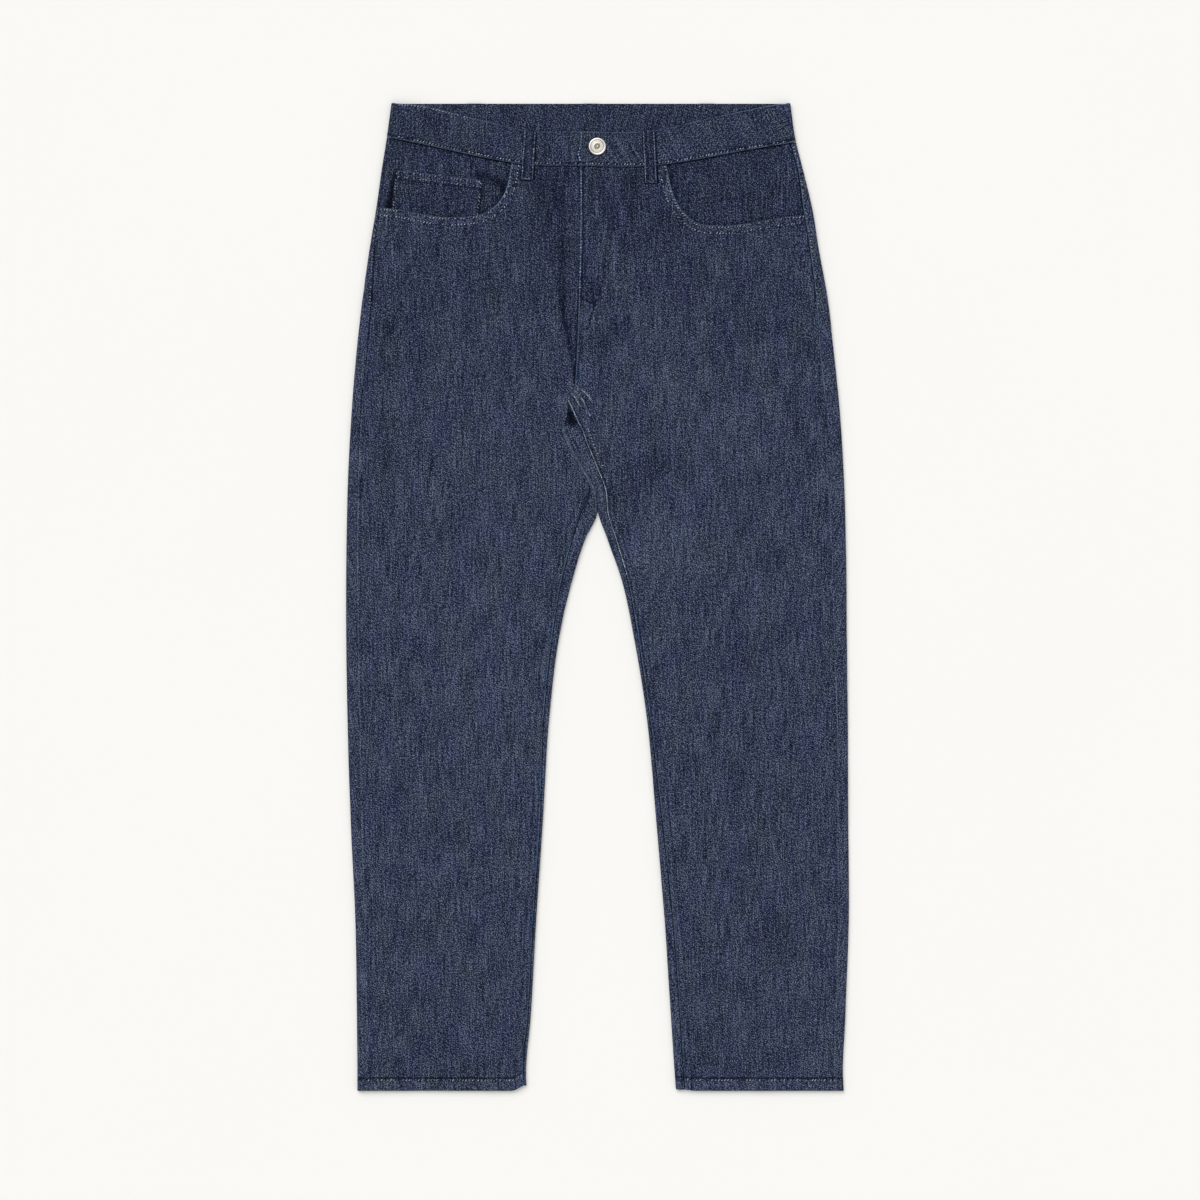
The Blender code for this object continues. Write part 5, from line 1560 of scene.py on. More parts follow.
def make_stitches(name, runs, material, settings, own=None):
    """Stitches as short capsules: four rings of four points on each, thin where the thread dives in."""
    standard = settings.length / MM, settings.gap / MM, settings.slant, settings.width / MM
    length, gap, slant, width = own or standard
    rings = np.concatenate([stitch_points(run, length, gap, slant) for run in runs if len(run.path) > 1])
    tangent = np.gradient(rings, axis=1)
    tangent /= np.linalg.norm(tangent, axis=2, keepdims=True)
    sideways = np.stack([-tangent[..., 1], tangent[..., 0], np.zeros(tangent.shape[:2])], axis=-1)
    sideways /= np.maximum(np.linalg.norm(sideways, axis=2, keepdims=True), 1e-9)
    upward = np.cross(tangent, sideways)
    radius = width / 2 * np.array([0.45, 1.0, 1.0, 0.45])[None, :, None]
    corners = [rings + radius * (sideways * math.cos(a) + upward * math.sin(a))
               for a in (math.pi / 4, 3 * math.pi / 4, 5 * math.pi / 4, 7 * math.pi / 4)]
    points = np.stack(corners, axis=2).reshape(-1, 3)
    one = [[4 * r + k, 4 * r + (k + 1) % 4, 4 * r + 4 + (k + 1) % 4, 4 * r + 4 + k]
           for r in range(3) for k in range(4)] + [[3, 2, 1, 0], [12, 13, 14, 15]]
    faces = (np.arange(len(rings))[:, None, None] * 16 + np.array(one)[None]).reshape(-1, 4)
    obj = mesh_object(name, points * MM, faces, material)
    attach(obj, BODY)
    return obj


def upright(across_of, start, stop, steps=60):
    """A run down the garment: across as a function of down."""
    down = np.linspace(start, stop, steps)
    return np.stack([across_of(down), down], axis=1)


def level_run(down_of, start, stop, steps=80):
    """A run across the garment: down as a function of across."""
    across = np.linspace(start, stop, steps)
    return np.stack([across, down_of(across)], axis=1)


def strip_up(which, across, down):
    """Height of a back panel's strip on the upper side."""
    shape = np.broadcast(across, down).shape
    return back_up(which, across, down, tube_height(down) + np.zeros(shape), np.full(shape, 9.0),
                   np.full(shape, 9.0))


# Fine sewn ridges that fan out under the crotch, as (across, down) points.
CROTCH_LINES = [
    [(-21.7, 302.1), (-16.4, 304.2), (-10.0, 310.0), (-5.3, 317.0)],
    [(-23.9, 305.3), (-19.6, 308.5), (-15.4, 314.8), (-11.1, 324.4), (-7.4, 332.0)],
    [(-27.0, 308.5), (-22.8, 313.8), (-19.1, 321.0)],
]


def front_runs(which):
    """Runs on a front: two along the pocket mouth, the hem, and on the left a short row beside the inseam below
    the crotch.
    """
    inward = INWARD[which]

    def height(across, down):
        return front_up(which, across, down)

    paths = [set_off(MOUTH_PATHS[which], -inward * offset) for offset in SEWN]
    if which == "left":
        paths.append(upright(lambda d: front_end("left", d) + 6.8, 344, 386))
    start = float(front_start(which, np.array(LENGTH))) + inward * 1.0
    stop = float(front_end(which, np.array(LENGTH))) - inward * 1.0

    def hem_down(across):
        share = (across - start) / (stop - start)
        return hem_line(which, share) - 11.4

    paths.append(level_run(hem_down, start, stop))
    return [Run(path, height, 1) for path in paths]


def sunk_runs(which):
    """Rows that hardly show: along the inseam, and on the left the J stitch and a second centre row."""
    inward = INWARD[which]
    top = 352 if which == "left" else 418
    paths = [upright(lambda d: front_end(which, d) - inward * offset, top, LENGTH - 14, 240) for offset in SEWN]
    if which == "left":
        paths += [j_stitch_path(0.8), j_stitch_path(2.8)]
        paths.append(upright(lambda d: front_end("left", d) + 7.4, 246, 296))
    return [Run(path, lambda a, d: front_up(which, a, d), 1) for path in paths]


def crotch_runs():
    """Rubbed, stretched rows: three that fan out under the crotch, and the one on the left inseam's edge."""
    paths = [np.array(line, float) for line in CROTCH_LINES]
    paths.append(upright(lambda d: front_end("left", d) + 0.45, 313, 500, 120))
    return [Run(path, lambda a, d: front_up("left", a, d), 1) for path in paths]


def back_runs(which):
    """Runs on a back panel: beside the side seam on the strip on top with its bartack, and on the underside
    below the yoke seam, round and across each patch pocket, beside the centre seam and across the hem.
    """
    def height(across, down):
        return strip_up(which, across, down)

    edge_in = INWARD[which]
    paths = [upright(lambda d: front_start(which, d) - edge_in * 1.9, 110 if which == "right" else 46, 214)]
    tack = 211.0
    for k in range(5):
        x = float(front_start(which, np.array(tack)))
        paths.append(np.array([[x - edge_in * 3.6, tack + 0.5 * k], [x + edge_in * 1.2, tack + 0.5 * k]]))
    runs = [Run(path, height, 1) for path in paths]
    under = [yoke_path(which, offset) for offset in (2.0, 8.0)]
    corners = pocket_corners(which)
    for inset in (2.2, 8.0):
        middle = corners.mean(axis=0)
        shrunk = middle + (corners - middle) * (1 - inset / 58.0)
        under.append(np.vstack([shrunk[1:], shrunk[:1]]))
    under.append(level_run(lambda a: BACK_POCKET_TOP + 23.5 + 0 * a, corners[0][0] + 2 * -edge_in,
                           corners[1][0] + 2 * edge_in))
    under.append(upright(lambda d: smooth(CENTRES, "back", d) - edge_in * 2.2, 112, 306))
    start = float(smooth(SIDES, which + "_edge", LENGTH)) + edge_in * 5
    stop = float(smooth(INNERS, which + "_edge", LENGTH)) - edge_in * 5
    under.append(level_run(lambda a: hem_gap(which, a, 0.0) - 11.4, start, stop))
    runs += [Run(path, underside, -1) for path in under]
    return runs


def yoke_path(which, offset):
    """A run on the back panel below the yoke seam, by an offset."""
    count = len(WRAP_STEPS)
    foot = yoke_line(which)[None, :] + offset
    across, _, _, _ = back_surface(which, foot)
    inside = slice(count + 1, -count - 1)
    return np.stack([across[0, inside], foot[0, inside]], axis=1)


# Ends of the waistband's rows, and where its top row sinks in.
BAND_ROWS = {"right": (-212.0, -21.5), "left": (-16.5, 199.0)}
BAND_TOP_SUNK = -130.0
UNDER_THREAD = 0.1


def underside(across, down):
    """Height of stitches on the underside, which lie in the surface's own plane."""
    return UNDER_THREAD + 0 * across


def band_runs():
    """Runs on the waistband: both edges of the front, and two rows along the back's outside."""
    runs = []
    for which, (start, stop) in BAND_ROWS.items():
        def height(across, down, which=which):
            return band_up(which, across, down)
        path = level_run(lambda a: smooth(BAND, "foot", a) - BAND_FOOT_SEWN, start, stop, 160)
        runs.append(Run(path, height, 1))
    begin = BAND_ROWS["right"][0]
    runs.append(Run(level_run(lambda a: smooth(BAND, "top", a) + BAND_TOP_SEWN, begin, BAND_TOP_SUNK, 160),
                    lambda a, d: band_up("right", a, d), 1))

    def outside(across, down):
        return UNDER_LIFT * loop_lift(across) + UNDER_THREAD

    for down in (3.0, 34.0):
        runs.append(Run(level_run(lambda a: BAND_TOP + down + 0 * a, -205, 190, 160), outside, -1))
    return runs


def faint_band_runs():
    """The rows along the waistband's top, outside and inside, where the cloth has closed over them."""
    runs = []
    for which, start, stop in (("right", BAND_TOP_SUNK, BAND_ROWS["right"][1]), ("left", *BAND_ROWS["left"])):
        def height(across, down, which=which):
            return band_up(which, across, down)
        path = level_run(lambda a: smooth(BAND, "top", a) + BAND_TOP_SEWN, start, stop, 160)
        runs.append(Run(path, height, 1))

    def inside(across, down):
        return BAND_CLOTH + 0.15 + 0.5 * loop_lift(across)

    runs.append(Run(level_run(lambda a: BAND_TOP + 3.0 + 0 * a, -150, 138, 160), inside, 1))
    return runs


def overcast_runs():
    """Beads of thread over the lap's end and the fly's edge."""
    return [
        Run(upright(lambda d: lap_edge(d) + 0.7, 30.5, 66.0), lambda a, d: band_up("left", a, d), 1),
        Run(upright(lambda d: front_end("left", d) + 0.7, 68.0, 197.0, 120),
            lambda a, d: front_up("left", a, d), 1),
    ]


def loop_runs():
    """Runs along both sides of every belt loop, and across the feet."""
    runs = []
    for name, loop in FRONT_LOOPS.items():
        def height(across, down, name=name):
            return loop_up(name, across, down)
        for offset in (-LOOP_WIDTH / 2 + LOOP_SEWN, LOOP_WIDTH / 2 - LOOP_SEWN):
            runs.append(Run(upright(lambda d: loop_centre(loop, d) + offset, loop.top + 1.5, loop.foot - 1.5),
                            height, 1))
        x = loop_centre(loop, loop.foot - 2)
        runs.append(Run(np.array([[x - 4.6, loop.foot - 2.0], [x + 4.6, loop.foot - 2.0]]), height, 1))
    for centre in BACK_LOOPS.values():
        for offset in (-LOOP_WIDTH / 2 + 1.5, LOOP_WIDTH / 2 - 1.5):
            path = np.array([[centre + offset, BACK_LOOP_TOP + 1.5], [centre + offset, BACK_LOOP_FOOT - 1.5]])
            runs.append(Run(path, underside, -1))
    return runs


def coin_runs():
    """Runs on the coin pocket: two along its hem and one down each side."""
    corner = np.array(COIN_POCKET, float)
    paths = [np.array([corner[0] + [1.5, d], corner[1] + [-1.5, d]]) for d in (1.9, 7.0)]
    paths += [np.array([corner[0] + [1.6, 2.0], corner[5] + [2.2, -1.0]]),
              np.array([corner[1] + [-1.6, 2.0], corner[2] + [-1.6, -4.0]])]
    return [Run(path, coin_up, 1) for path in paths]


def buttonhole_runs():
    """The buttonhole: short stitches across both lips of a slit that runs under the button."""
    runs = []

    def height(across, down):
        return band_up("left", across, down)

    for x in np.arange(-9.0, 10.6, 0.75):
        for lip in (-1.5, 0.3):
            runs.append(Run(np.array([[x, 47.6 + lip], [x + 0.1, 47.6 + lip + 1.9]]), height, 1))
    runs.append(Run(np.array([[10.9, 45.9], [11.1, 49.6]]), height, 1))
    return runs


# ---------------------------------------------------------------- materials


def add(tree, kind, inputs=None, **settings):
    """A node with its settings and inputs: a socket is linked, and anything else is its value."""
    made = tree.nodes.new(kind)
    for key, value in settings.items():
        setattr(made, key, value)
    for key, value in (inputs or {}).items():
        if isinstance(value, bpy.types.NodeSocket):
            tree.links.new(value, made.inputs[key])
        else:
            made.inputs[key].default_value = value
    return made


def compute(tree, operation, *values, clamp=False):
    return add(tree, "ShaderNodeMath", dict(enumerate(values)), operation=operation, use_clamp=clamp).outputs[0]


def new_group(name, inputs, outputs):
    """An empty shader group with named sockets: (kind, name, default) for inputs, (kind, name) for outputs."""
    group = bpy.data.node_groups.new(name, "ShaderNodeTree")
    for kind, label, default in inputs:
        socket = group.interface.new_socket(name=label, in_out="INPUT", socket_type=kind)
        if default is not None:
            socket.default_value = default
    for kind, label in outputs:
        group.interface.new_socket(name=label, in_out="OUTPUT", socket_type=kind)
    return group, group.nodes.new("NodeGroupInput").outputs, group.nodes.new("NodeGroupOutput").inputs


def stretched_noise(tree, vector, size, turn=0.0, detail=2.0, roughness=0.5):
    """Noise whose grains are stretched: the vector is turned back, and divided by the grains' size."""
    placed = add(tree, "ShaderNodeMapping", {"Vector": vector, "Rotation": (0, 0, turn), "Scale": (*size, 1.0)},
                 vector_type="TEXTURE")
    return add(tree, "ShaderNodeTexNoise", {"Vector": placed.outputs[0], "Scale": 1.0, "Detail": detail,
                                            "Roughness": roughness}).outputs[0]


# Layers of the weave's tone: grain size in millimetres across and along, turn in degrees, and share.
Layer = namedtuple("Layer", "across along turn detail share")
WEAVE = [
    Layer(1.1, 1.1, 20, 0.0, 4.1),       # yarn crowns
    Layer(1.1, 4.4, -42, 0.0, 1.3),      # twill wales, from upper left to lower right
    Layer(1.0, 28.0, 0, 0.0, 1.15),      # warp streaks
    Layer(2.6, 50.0, 0, 1.0, 0.62),      # slubs
    Layer(10.0, 2.6, 0, 1.0, 0.12),      # uneven weft
    Layer(18.0, 36.0, 0, 2.0, 0.62),     # patches
]


def make_weave_group():
    """Tone of woven denim, about 0.5 in the middle: the middle plus each layer's noise times its share."""
    group, given, out = new_group(
        "Denim weave",
        [("NodeSocketVector", "Grain", None), ("NodeSocketFloat", "Contrast", 1.0)],
        [("NodeSocketFloat", "Tone"), ("NodeSocketFloat", "Height")])
    total = None
    for layer in WEAVE:
        noise = stretched_noise(group, given["Grain"], (layer.across, layer.along),
                                math.radians(layer.turn), layer.detail)
        part = compute(group, "MULTIPLY", compute(group, "SUBTRACT", noise, 0.5), layer.share)
        total = part if total is None else compute(group, "ADD", total, part)
    specks = stretched_noise(group, given["Grain"], (1.25, 1.9), math.radians(-30), 0.0)
    bright = add(group, "ShaderNodeMapRange", {"Value": specks, "From Min": 0.68, "From Max": 0.84})
    total = compute(group, "MULTIPLY_ADD", bright.outputs[0], 1.3, total)
    tone = compute(group, "MULTIPLY_ADD", total, given["Contrast"], 0.48)
    group.links.new(tone, out["Tone"])
    group.links.new(compute(group, "MULTIPLY", total, 0.5), out["Height"])
    return group


def make_wear_group():
    """Masks at seams, by distances in millimetres: a broken rubbed line at an edge, and a line of painted shade
    along a ditch and beside and under raised edges.
    """
    group, given, out = new_group(
        "Seam wear",
        [("NodeSocketVector", "Grain", None), ("NodeSocketFloat", "Edge", FAR),
         ("NodeSocketFloat", "Shade gap", FAR), ("NodeSocketFloat", "Shade strength", 1.0), ("NodeSocketFloat", "Rub", 0.5)],
        [("NodeSocketFloat", "Worn"), ("NodeSocketFloat", "Sunk"), ("NodeSocketFloat", "Pale")])
    broken = stretched_noise(group, given["Grain"], (1.2, 1.2), 0, 0.0)
    patchy = stretched_noise(group, given["Grain"], (26.0, 26.0), 0, 1.0)
    bare = stretched_noise(group, given["Grain"], (34.0, 34.0), 0.6, 1.0)
    line = add(group, "ShaderNodeMapRange", {"Value": given["Edge"], "From Min": 0.1, "From Max": 1.5,
                                             "To Min": 1.0, "To Max": 0.0}, interpolation_type="SMOOTHSTEP")
    gate = add(group, "ShaderNodeMapRange", {"Value": compute(group, "MULTIPLY_ADD", patchy, 0.7, broken),
                                             "From Min": 0.62, "From Max": 1.02, "To Max": 1.6})
    drawn = compute(group, "MULTIPLY", line.outputs[0], gate.outputs[0])
    group.links.new(compute(group, "MULTIPLY", drawn, given["Rub"], clamp=True), out["Worn"])
    # Painted shade, given out as Sunk: dark at the line and gone 1.5 mm from it, times its strength.
    painted_shade_line = add(group, "ShaderNodeMapRange", {"Value": given["Shade gap"], "From Min": 0.3, "From Max": 1.5,
                                             "To Min": 1.0, "To Max": 0.0}, interpolation_type="SMOOTHSTEP")
    group.links.new(compute(group, "MULTIPLY", painted_shade_line.outputs[0], given["Shade strength"]), out["Sunk"])
    pale = add(group, "ShaderNodeMapRange", {"Value": bare, "From Min": 0.42, "From Max": 0.62})
    group.links.new(pale.outputs[0], out["Pale"])
    return group


def make_dye_group():
    """Colour of the cloth from its tone: a ramp from dark warp to pale weft, and below it to near black for
    painted shade, tinted by a slow drift.
    """
    group, given, out = new_group(
        "Indigo dye",
        [("NodeSocketFloat", "Tone", 0.5), ("NodeSocketVector", "Grain", None),
         ("NodeSocketColor", "Dark", (0, 0, 0, 1)), ("NodeSocketColor", "Indigo", (0, 0, 0, 1)),
         ("NodeSocketColor", "Fleck", (1, 1, 1, 1))],
        [("NodeSocketColor", "Color")])
    low = add(group, "ShaderNodeMapRange", {"Value": given["Tone"], "From Min": 0.0, "From Max": 0.5})
    high = add(group, "ShaderNodeMapRange", {"Value": given["Tone"], "From Min": 0.5, "From Max": 1.8})
    colour = blend(group, low.outputs[0], given["Dark"], given["Indigo"])
    colour = blend(group, high.outputs[0], colour, given["Fleck"])
    # Tones below 0 run to near black: painted shade in hollows, seams and under edges.
    deep = add(group, "ShaderNodeMapRange", {"Value": given["Tone"], "From Min": -1.2, "From Max": 0.0})
    colour = blend(group, deep.outputs[0], (0.0012, 0.0016, 0.0035, 1), colour)
    drift = stretched_noise(group, given["Grain"], (26.0, 60.0), 0, 1.0)
    yarns = stretched_noise(group, given["Grain"], (2.0, 5.0), 0, 0.0)
    navy = blend(group, 1.0, colour, (0.95, 0.93, 1.14, 1), "MULTIPLY")
    teal = blend(group, 1.0, colour, (1.00, 1.07, 0.93, 1), "MULTIPLY")
    both = compute(group, "MULTIPLY_ADD", compute(group, "SUBTRACT", yarns, 0.5), 1.0, drift)
    turned = add(group, "ShaderNodeMapRange", {"Value": both, "From Min": 0.2, "From Max": 0.8})
    group.links.new(blend(group, turned.outputs[0], navy, teal), out["Color"])
    return group


def blend(tree, factor, a, b, kind="MIX"):
    """Mix of two colours, by the sockets that a Mix node keeps for colour."""
    made = tree.nodes.new("ShaderNodeMix")
    made.data_type = "RGBA"
    made.blend_type = kind
    made.clamp_factor = True
    for index, value in ((0, factor), (6, a), (7, b)):
        if isinstance(value, bpy.types.NodeSocket):
            tree.links.new(value, made.inputs[index])
        else:
            made.inputs[index].default_value = value
    return made.outputs[2]


def new_material(name):
    material = bpy.data.materials.new(name)
    material.use_nodes = True
    tree = material.node_tree
    return material, tree, tree.nodes["Principled BSDF"]


def make_denim(name, settings, groups, tone_shift, contrast=1.0):
    """Denim: weave, dye, seam wear and painted shade, its relief as bump, matt with a little sheen from loose
    fibres.
    """
    material, tree, shader = new_material(name)
    grain = add(tree, "ShaderNodeAttribute", attribute_name="grain").outputs["Vector"]
    edge = add(tree, "ShaderNodeAttribute", attribute_name="edge").outputs["Fac"]
    ditch = add(tree, "ShaderNodeAttribute", attribute_name="ditch").outputs["Fac"]
    fade = add(tree, "ShaderNodeAttribute", attribute_name="fade").outputs["Fac"]
    rub = add(tree, "ShaderNodeAttribute", attribute_name="rub").outputs["Fac"]
    sewn = add(tree, "ShaderNodeAttribute", attribute_name="sewn").outputs["Fac"]
    shade_strength = add(tree, "ShaderNodeAttribute", attribute_name="shade_strength").outputs["Fac"]
    weave = add(tree, "ShaderNodeGroup", node_tree=groups["weave"])
    tree.links.new(grain, weave.inputs["Grain"])
    weave.inputs["Contrast"].default_value = settings.contrast * contrast
    wear = add(tree, "ShaderNodeGroup", node_tree=groups["wear"])
    for key, socket in (("Grain", grain), ("Edge", edge), ("Shade gap", ditch), ("Shade strength", shade_strength), ("Rub", rub)):
        tree.links.new(socket, wear.inputs[key])
    # Fading of the cloth, together with painted shade and painted highlight, shifts the tone.
    shifted = compute(tree, "MULTIPLY_ADD", fade, 0.5, weave.outputs["Tone"])
    shifted = compute(tree, "ADD", shifted, tone_shift)
    # Painted shade: dark lines along seams, under edges and beside loops (the Sunk mask), and sewn rows drawn
    # darker as painted shade in their grooves.
    shifted = compute(tree, "MULTIPLY_ADD", wear.outputs["Sunk"], -0.9, shifted)
    shifted = compute(tree, "MULTIPLY_ADD", sewn, -0.45, shifted)
    dye = add(tree, "ShaderNodeGroup", node_tree=groups["dye"])
    tree.links.new(shifted, dye.inputs["Tone"])
    tree.links.new(grain, dye.inputs["Grain"])
    dye.inputs["Dark"].default_value = settings.dark
    dye.inputs["Indigo"].default_value = settings.indigo
    dye.inputs["Fleck"].default_value = settings.fleck
    bare = blend(tree, wear.outputs["Pale"], tuple(settings.worn), tuple(settings.palest))
    colour = blend(tree, wear.outputs["Worn"], dye.outputs["Color"], bare)
    tree.links.new(colour, shader.inputs["Base Color"])
    rough = add(tree, "ShaderNodeMapRange", {"Value": weave.outputs["Tone"], "To Min": 0.95, "To Max": 0.8})
    tree.links.new(rough.outputs[0], shader.inputs["Roughness"])
    relief = add(tree, "ShaderNodeBump", {
        "Height": weave.outputs["Height"], "Strength": 0.35, "Distance": 0.0006})
    tree.links.new(relief.outputs[0], shader.inputs["Normal"])
    shader.inputs["Specular IOR Level"].default_value = 0.06
    shader.inputs["Sheen Weight"].default_value = 0.03
    shader.inputs["Sheen Roughness"].default_value = 0.6
    shader.inputs["Sheen Tint"].default_value = (0.55, 0.62, 0.8, 1)
    return material


def make_thread(name, colour):
    """Cotton thread: matt, lighter and darker from stitch to stitch."""
    material, tree, shader = new_material(name)
    place = add(tree, "ShaderNodeTexCoord").outputs["Object"]
    uneven = add(tree, "ShaderNodeTexNoise", {"Vector": place, "Scale": 190.0, "Detail": 2.0}).outputs[0]
    wide = add(tree, "ShaderNodeMapRange", {"Value": uneven, "From Min": 0.3, "From Max": 0.7}).outputs[0]
    low = tuple(c * 0.22 for c in colour[:3]) + (1,)
    high = tuple(c * 1.8 for c in colour[:3]) + (1,)
    tree.links.new(blend(tree, wide, low, high), shader.inputs["Base Color"])
    shader.inputs["Roughness"].default_value = 0.75
    shader.inputs["Specular IOR Level"].default_value = 0.2
    return material


def make_nickel(settings):
    """Antique nickel: bright on raised places, dull and rougher in low ones, by height in the piece."""
    material, tree, shader = new_material("Antique nickel")
    place = add(tree, "ShaderNodeTexCoord").outputs["Object"]
    up = add(tree, "ShaderNodeSeparateXYZ", {"Vector": place}).outputs[2]
    base = (BAND_HEIGHT + SEAM + 0.1) * MM
    raised = add(tree, "ShaderNodeMapRange", {"Value": up, "From Min": base + 1.3 * MM,
                                              "From Max": base + 2.0 * MM}).outputs[0]
    spots = add(tree, "ShaderNodeTexNoise", {"Vector": place, "Scale": 900.0, "Detail": 3.0}).outputs[0]
    lifted = compute(tree, "MULTIPLY_ADD", raised, 0.8, -0.1)
    clean = compute(tree, "MULTIPLY_ADD", spots, 0.5, lifted, clamp=True)
    colour = blend(tree, clean, tuple(settings.tarnish), tuple(settings.nickel))
    tree.links.new(colour, shader.inputs["Base Color"])
    rough = add(tree, "ShaderNodeMapRange", {"Value": clean, "To Min": 0.6, "To Max": 0.34})
    tree.links.new(rough.outputs[0], shader.inputs["Roughness"])
    scratches = add(tree, "ShaderNodeBump", {"Height": spots, "Strength": 0.15, "Distance": 0.0001})
    tree.links.new(scratches.outputs[0], shader.inputs["Normal"])
    shader.inputs["Metallic"].default_value = 0.75
    return material


def make_floor_material(colour):
    """Pale matt floor, with a breath of unevenness in its colour."""
    material, tree, shader = new_material("Pale floor")
    place = add(tree, "ShaderNodeTexCoord").outputs["Object"]
    noise = add(tree, "ShaderNodeTexNoise", {"Vector": place, "Scale": 3.0, "Detail": 2.0}).outputs[0]
    darker = tuple(c * 0.992 for c in colour[:3]) + (1,)
    tree.links.new(blend(tree, noise, tuple(colour), darker), shader.inputs["Base Color"])
    shader.inputs["Roughness"].default_value = 0.9
    shader.inputs["Specular IOR Level"].default_value = 0.0
    return material


# ---------------------------------------------------------------- operators


def shared_materials():
    """The denim materials, made once and kept by name."""
    made = {m.name: m for m in bpy.data.materials}
    if "Indigo denim" not in made:
        groups = {"weave": make_weave_group(), "wear": make_wear_group(), "dye": make_dye_group()}
        settings = bpy.context.scene.jeans_denim
        make_denim("Indigo denim", settings, groups, 0.0)
        make_denim("Indigo denim, waistband", settings, groups, -0.06)
        # The pockets' denim is the same cloth drawn darker by the pocket shade, as painted shade inside the
        # mouths.
        make_denim("Indigo denim, pocket", settings, groups, -settings.shade)
        threads = bpy.context.scene.jeans_thread
        for name, colour in (("Tonal", threads.colour), ("Sunk", threads.dark), ("Pale", threads.pale),
                             ("Overcast", threads.overcast), ("Faint", threads.faint)):
            make_thread(name + " thread", colour)
        make_nickel(bpy.context.scene.jeans_button)
    return bpy.data.materials


class JEANS_OT_backs(bpy.types.Operator):
    """Make the two back panels, which wrap over the sides to the front"""

    bl_idname = "jeans.backs"
    bl_label = "Backs"

    def execute(self, context):
        for which in ("right", "left"):
            make_back(which, shared_materials()["Indigo denim"])
            make_yoke(which, shared_materials()["Indigo denim"])
        return {"FINISHED"}


class JEANS_OT_back_pockets(bpy.types.Operator):
    """Make the two plain patch pockets under the backs"""

    bl_idname = "jeans.back_pockets"
    bl_label = "Back pockets"

    def execute(self, context):
        for which in ("right", "left"):
            make_back_pocket(which, shared_materials()["Indigo denim"])
        return {"FINISHED"}


class JEANS_OT_facings(bpy.types.Operator):
    """Make the cloth inside the pocket mouths, and the coin pocket"""

    bl_idname = "jeans.facings"
    bl_label = "Pocket facings"

    def execute(self, context):
        for which in ("right", "left"):
            make_facing(which, shared_materials()["Indigo denim, pocket"])
        make_coin_pocket(shared_materials()["Indigo denim, pocket"])
        return {"FINISHED"}


class JEANS_OT_fronts(bpy.types.Operator):
    """Make the two fronts, with the fly, pocket hems and leg hems"""

    bl_idname = "jeans.fronts"
    bl_label = "Fronts"

    def execute(self, context):
        for which in ("right", "left"):
            make_front(which, shared_materials()["Indigo denim"])
        return {"FINISHED"}


class JEANS_OT_waistband(bpy.types.Operator):
    """Make the waistband and its five belt loops"""

    bl_idname = "jeans.waistband"
    bl_label = "Waistband and loops"

    def execute(self, context):
        material = shared_materials()["Indigo denim, waistband"]
        make_band(material)
        for name in FRONT_LOOPS:
            make_front_loop(name, material)
        for name in BACK_LOOPS:
            make_back_loop(name, material)
        return {"FINISHED"}


class JEANS_OT_button(bpy.types.Operator):
    """Make the shank button"""

    bl_idname = "jeans.button"
    bl_label = "Button"

    def execute(self, context):
        make_button(shared_materials()["Antique nickel"])
        return {"FINISHED"}


class JEANS_OT_stitching(bpy.types.Operator):
    """Sew every topstitched row"""

    bl_idname = "jeans.stitching"
    bl_label = "Stitching"

    def execute(self, context):
        materials = shared_materials()
        settings = context.scene.jeans_thread
        for which in ("right", "left"):
            make_stitches("stitches_front_" + which, front_runs(which), materials["Tonal thread"], settings)
            make_stitches("stitches_back_" + which, back_runs(which), materials["Faint thread"], settings)
        for which in ("right", "left"):
            make_stitches("stitches_sunk_" + which, sunk_runs(which), materials["Sunk thread"], settings)
        for name, runs, thread, own in (
            ("stitches_crotch", crotch_runs, "Pale thread", STRETCHED),
            ("stitches_overcast", overcast_runs, "Overcast thread", OVERCAST),
            ("stitches_waistband_top", faint_band_runs, "Sunk thread", None),
            ("stitches_waistband", band_runs, "Tonal thread", None),
            ("stitches_loops", loop_runs, "Faint thread", LOOP_STITCH),
            ("stitches_coin_pocket", coin_runs, "Faint thread", None),
            ("stitches_buttonhole", buttonhole_runs, "Faint thread", None),
        ):
            make_stitches(name, runs(), materials[thread], settings, own=own)
        return {"FINISHED"}


class JEANS_OT_stage(bpy.types.Operator):
    """Make the floor, lights and camera"""

    bl_idname = "jeans.stage"
    bl_label = "Stage"

    def execute(self, context):
        make_stage(context.scene.jeans_stage)
        return {"FINISHED"}


# Each light's elevation, bearing and apparent width in degrees, and the camera's aim in millimetres.
KEY_LIGHT = (52, -25, 50)
FILL_LIGHT = (60, 150, 70)
AIM = (2.65, -3.2, 5)


def add_sun(name, elevation, bearing, spread_angle, strength):
    """A wide, distant light: elevation, bearing clockwise from +Y, and how wide it looks, in degrees."""
    data = bpy.data.lights.new(name, "SUN")
    data.angle = math.radians(spread_angle)
    data.energy = strength
    obj = bpy.data.objects.new(name, data)
    bpy.context.scene.collection.objects.link(obj)
    obj.location = (0, 0, 3)
    obj.rotation_euler = (math.radians(elevation - 90), 0, math.radians(-bearing))
    return obj


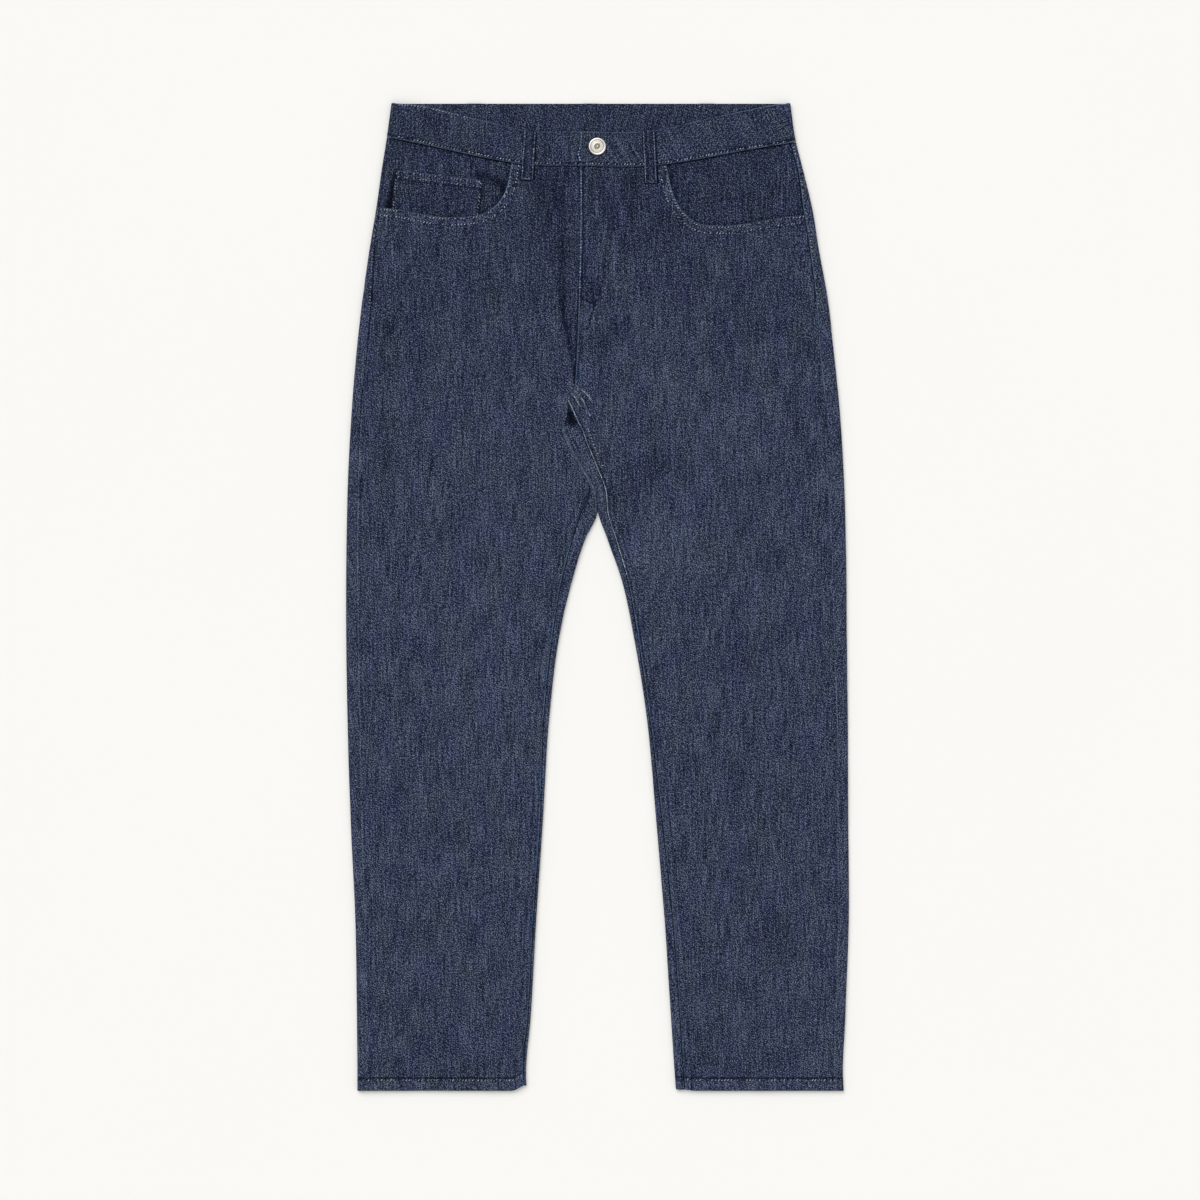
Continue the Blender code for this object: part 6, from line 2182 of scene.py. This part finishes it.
def make_stage(settings):
    floor_mesh = bpy.data.meshes.new("floor")
    half, below = 6.0, -0.0006
    corners = [(-half, -half, below), (half, -half, below), (half, half, below), (-half, half, below)]
    floor_mesh.from_pydata(corners, [], [(0, 1, 2, 3)])
    floor_mesh.materials.append(make_floor_material(settings.floor))
    floor = bpy.data.objects.new("floor", floor_mesh)
    bpy.context.scene.collection.objects.link(floor)
    world = bpy.data.worlds.new("Studio")
    world.use_nodes = True
    world.node_tree.nodes["Background"].inputs["Color"].default_value = (1.0, 0.995, 0.98, 1)
    world.node_tree.nodes["Background"].inputs["Strength"].default_value = settings.sky
    bpy.context.scene.world = world
    add_sun("Key", *KEY_LIGHT, settings.key)
    add_sun("Fill", *FILL_LIGHT, settings.fill)
    data = bpy.data.cameras.new("Overhead")
    data.lens = settings.lens
    data.clip_end = 50
    camera = bpy.data.objects.new("Overhead", data)
    bpy.context.scene.collection.objects.link(camera)
    distance = settings.frame_width * settings.lens / data.sensor_width
    camera.location = (AIM[0] * MM, AIM[1] * MM, distance + AIM[2] * MM)
    bpy.context.scene.camera = camera
    bpy.context.scene.view_settings.view_transform = "Standard"


class JEANS_PT_panel(bpy.types.Panel):
    """Jeans in the 3D view's sidebar"""

    bl_label = "Tapered jeans"
    bl_idname = "JEANS_PT_panel"
    bl_space_type = "VIEW_3D"
    bl_region_type = "UI"
    bl_category = "Jeans"

    def draw(self, context):
        layout = self.layout
        for group in SETTINGS:
            box = layout.box()
            for key in SETTINGS[group].__annotations__:
                box.prop(getattr(context.scene, group), key)
        for operator in OPERATORS:
            layout.operator(operator.bl_idname)


SETTINGS = {
    "jeans_denim": JeansDenim, "jeans_thread": JeansThread, "jeans_button": JeansButton,
    "jeans_stage": JeansStage,
}
OPERATORS = [
    JEANS_OT_backs, JEANS_OT_back_pockets, JEANS_OT_facings, JEANS_OT_fronts, JEANS_OT_waistband,
    JEANS_OT_button, JEANS_OT_stitching, JEANS_OT_stage,
]


def register():
    for cls in [*SETTINGS.values(), *OPERATORS, JEANS_PT_panel]:
        bpy.utils.register_class(cls)
    for name, cls in SETTINGS.items():
        setattr(bpy.types.Scene, name, bpy.props.PointerProperty(type=cls))


def unregister():
    for name in SETTINGS:
        delattr(bpy.types.Scene, name)
    for cls in reversed([*SETTINGS.values(), *OPERATORS, JEANS_PT_panel]):
        bpy.utils.unregister_class(cls)


def main():
    register()
    for operator in OPERATORS:
        group, name = operator.bl_idname.split(".")
        getattr(getattr(bpy.ops, group), name)()


if __name__ == "__main__":
    main()
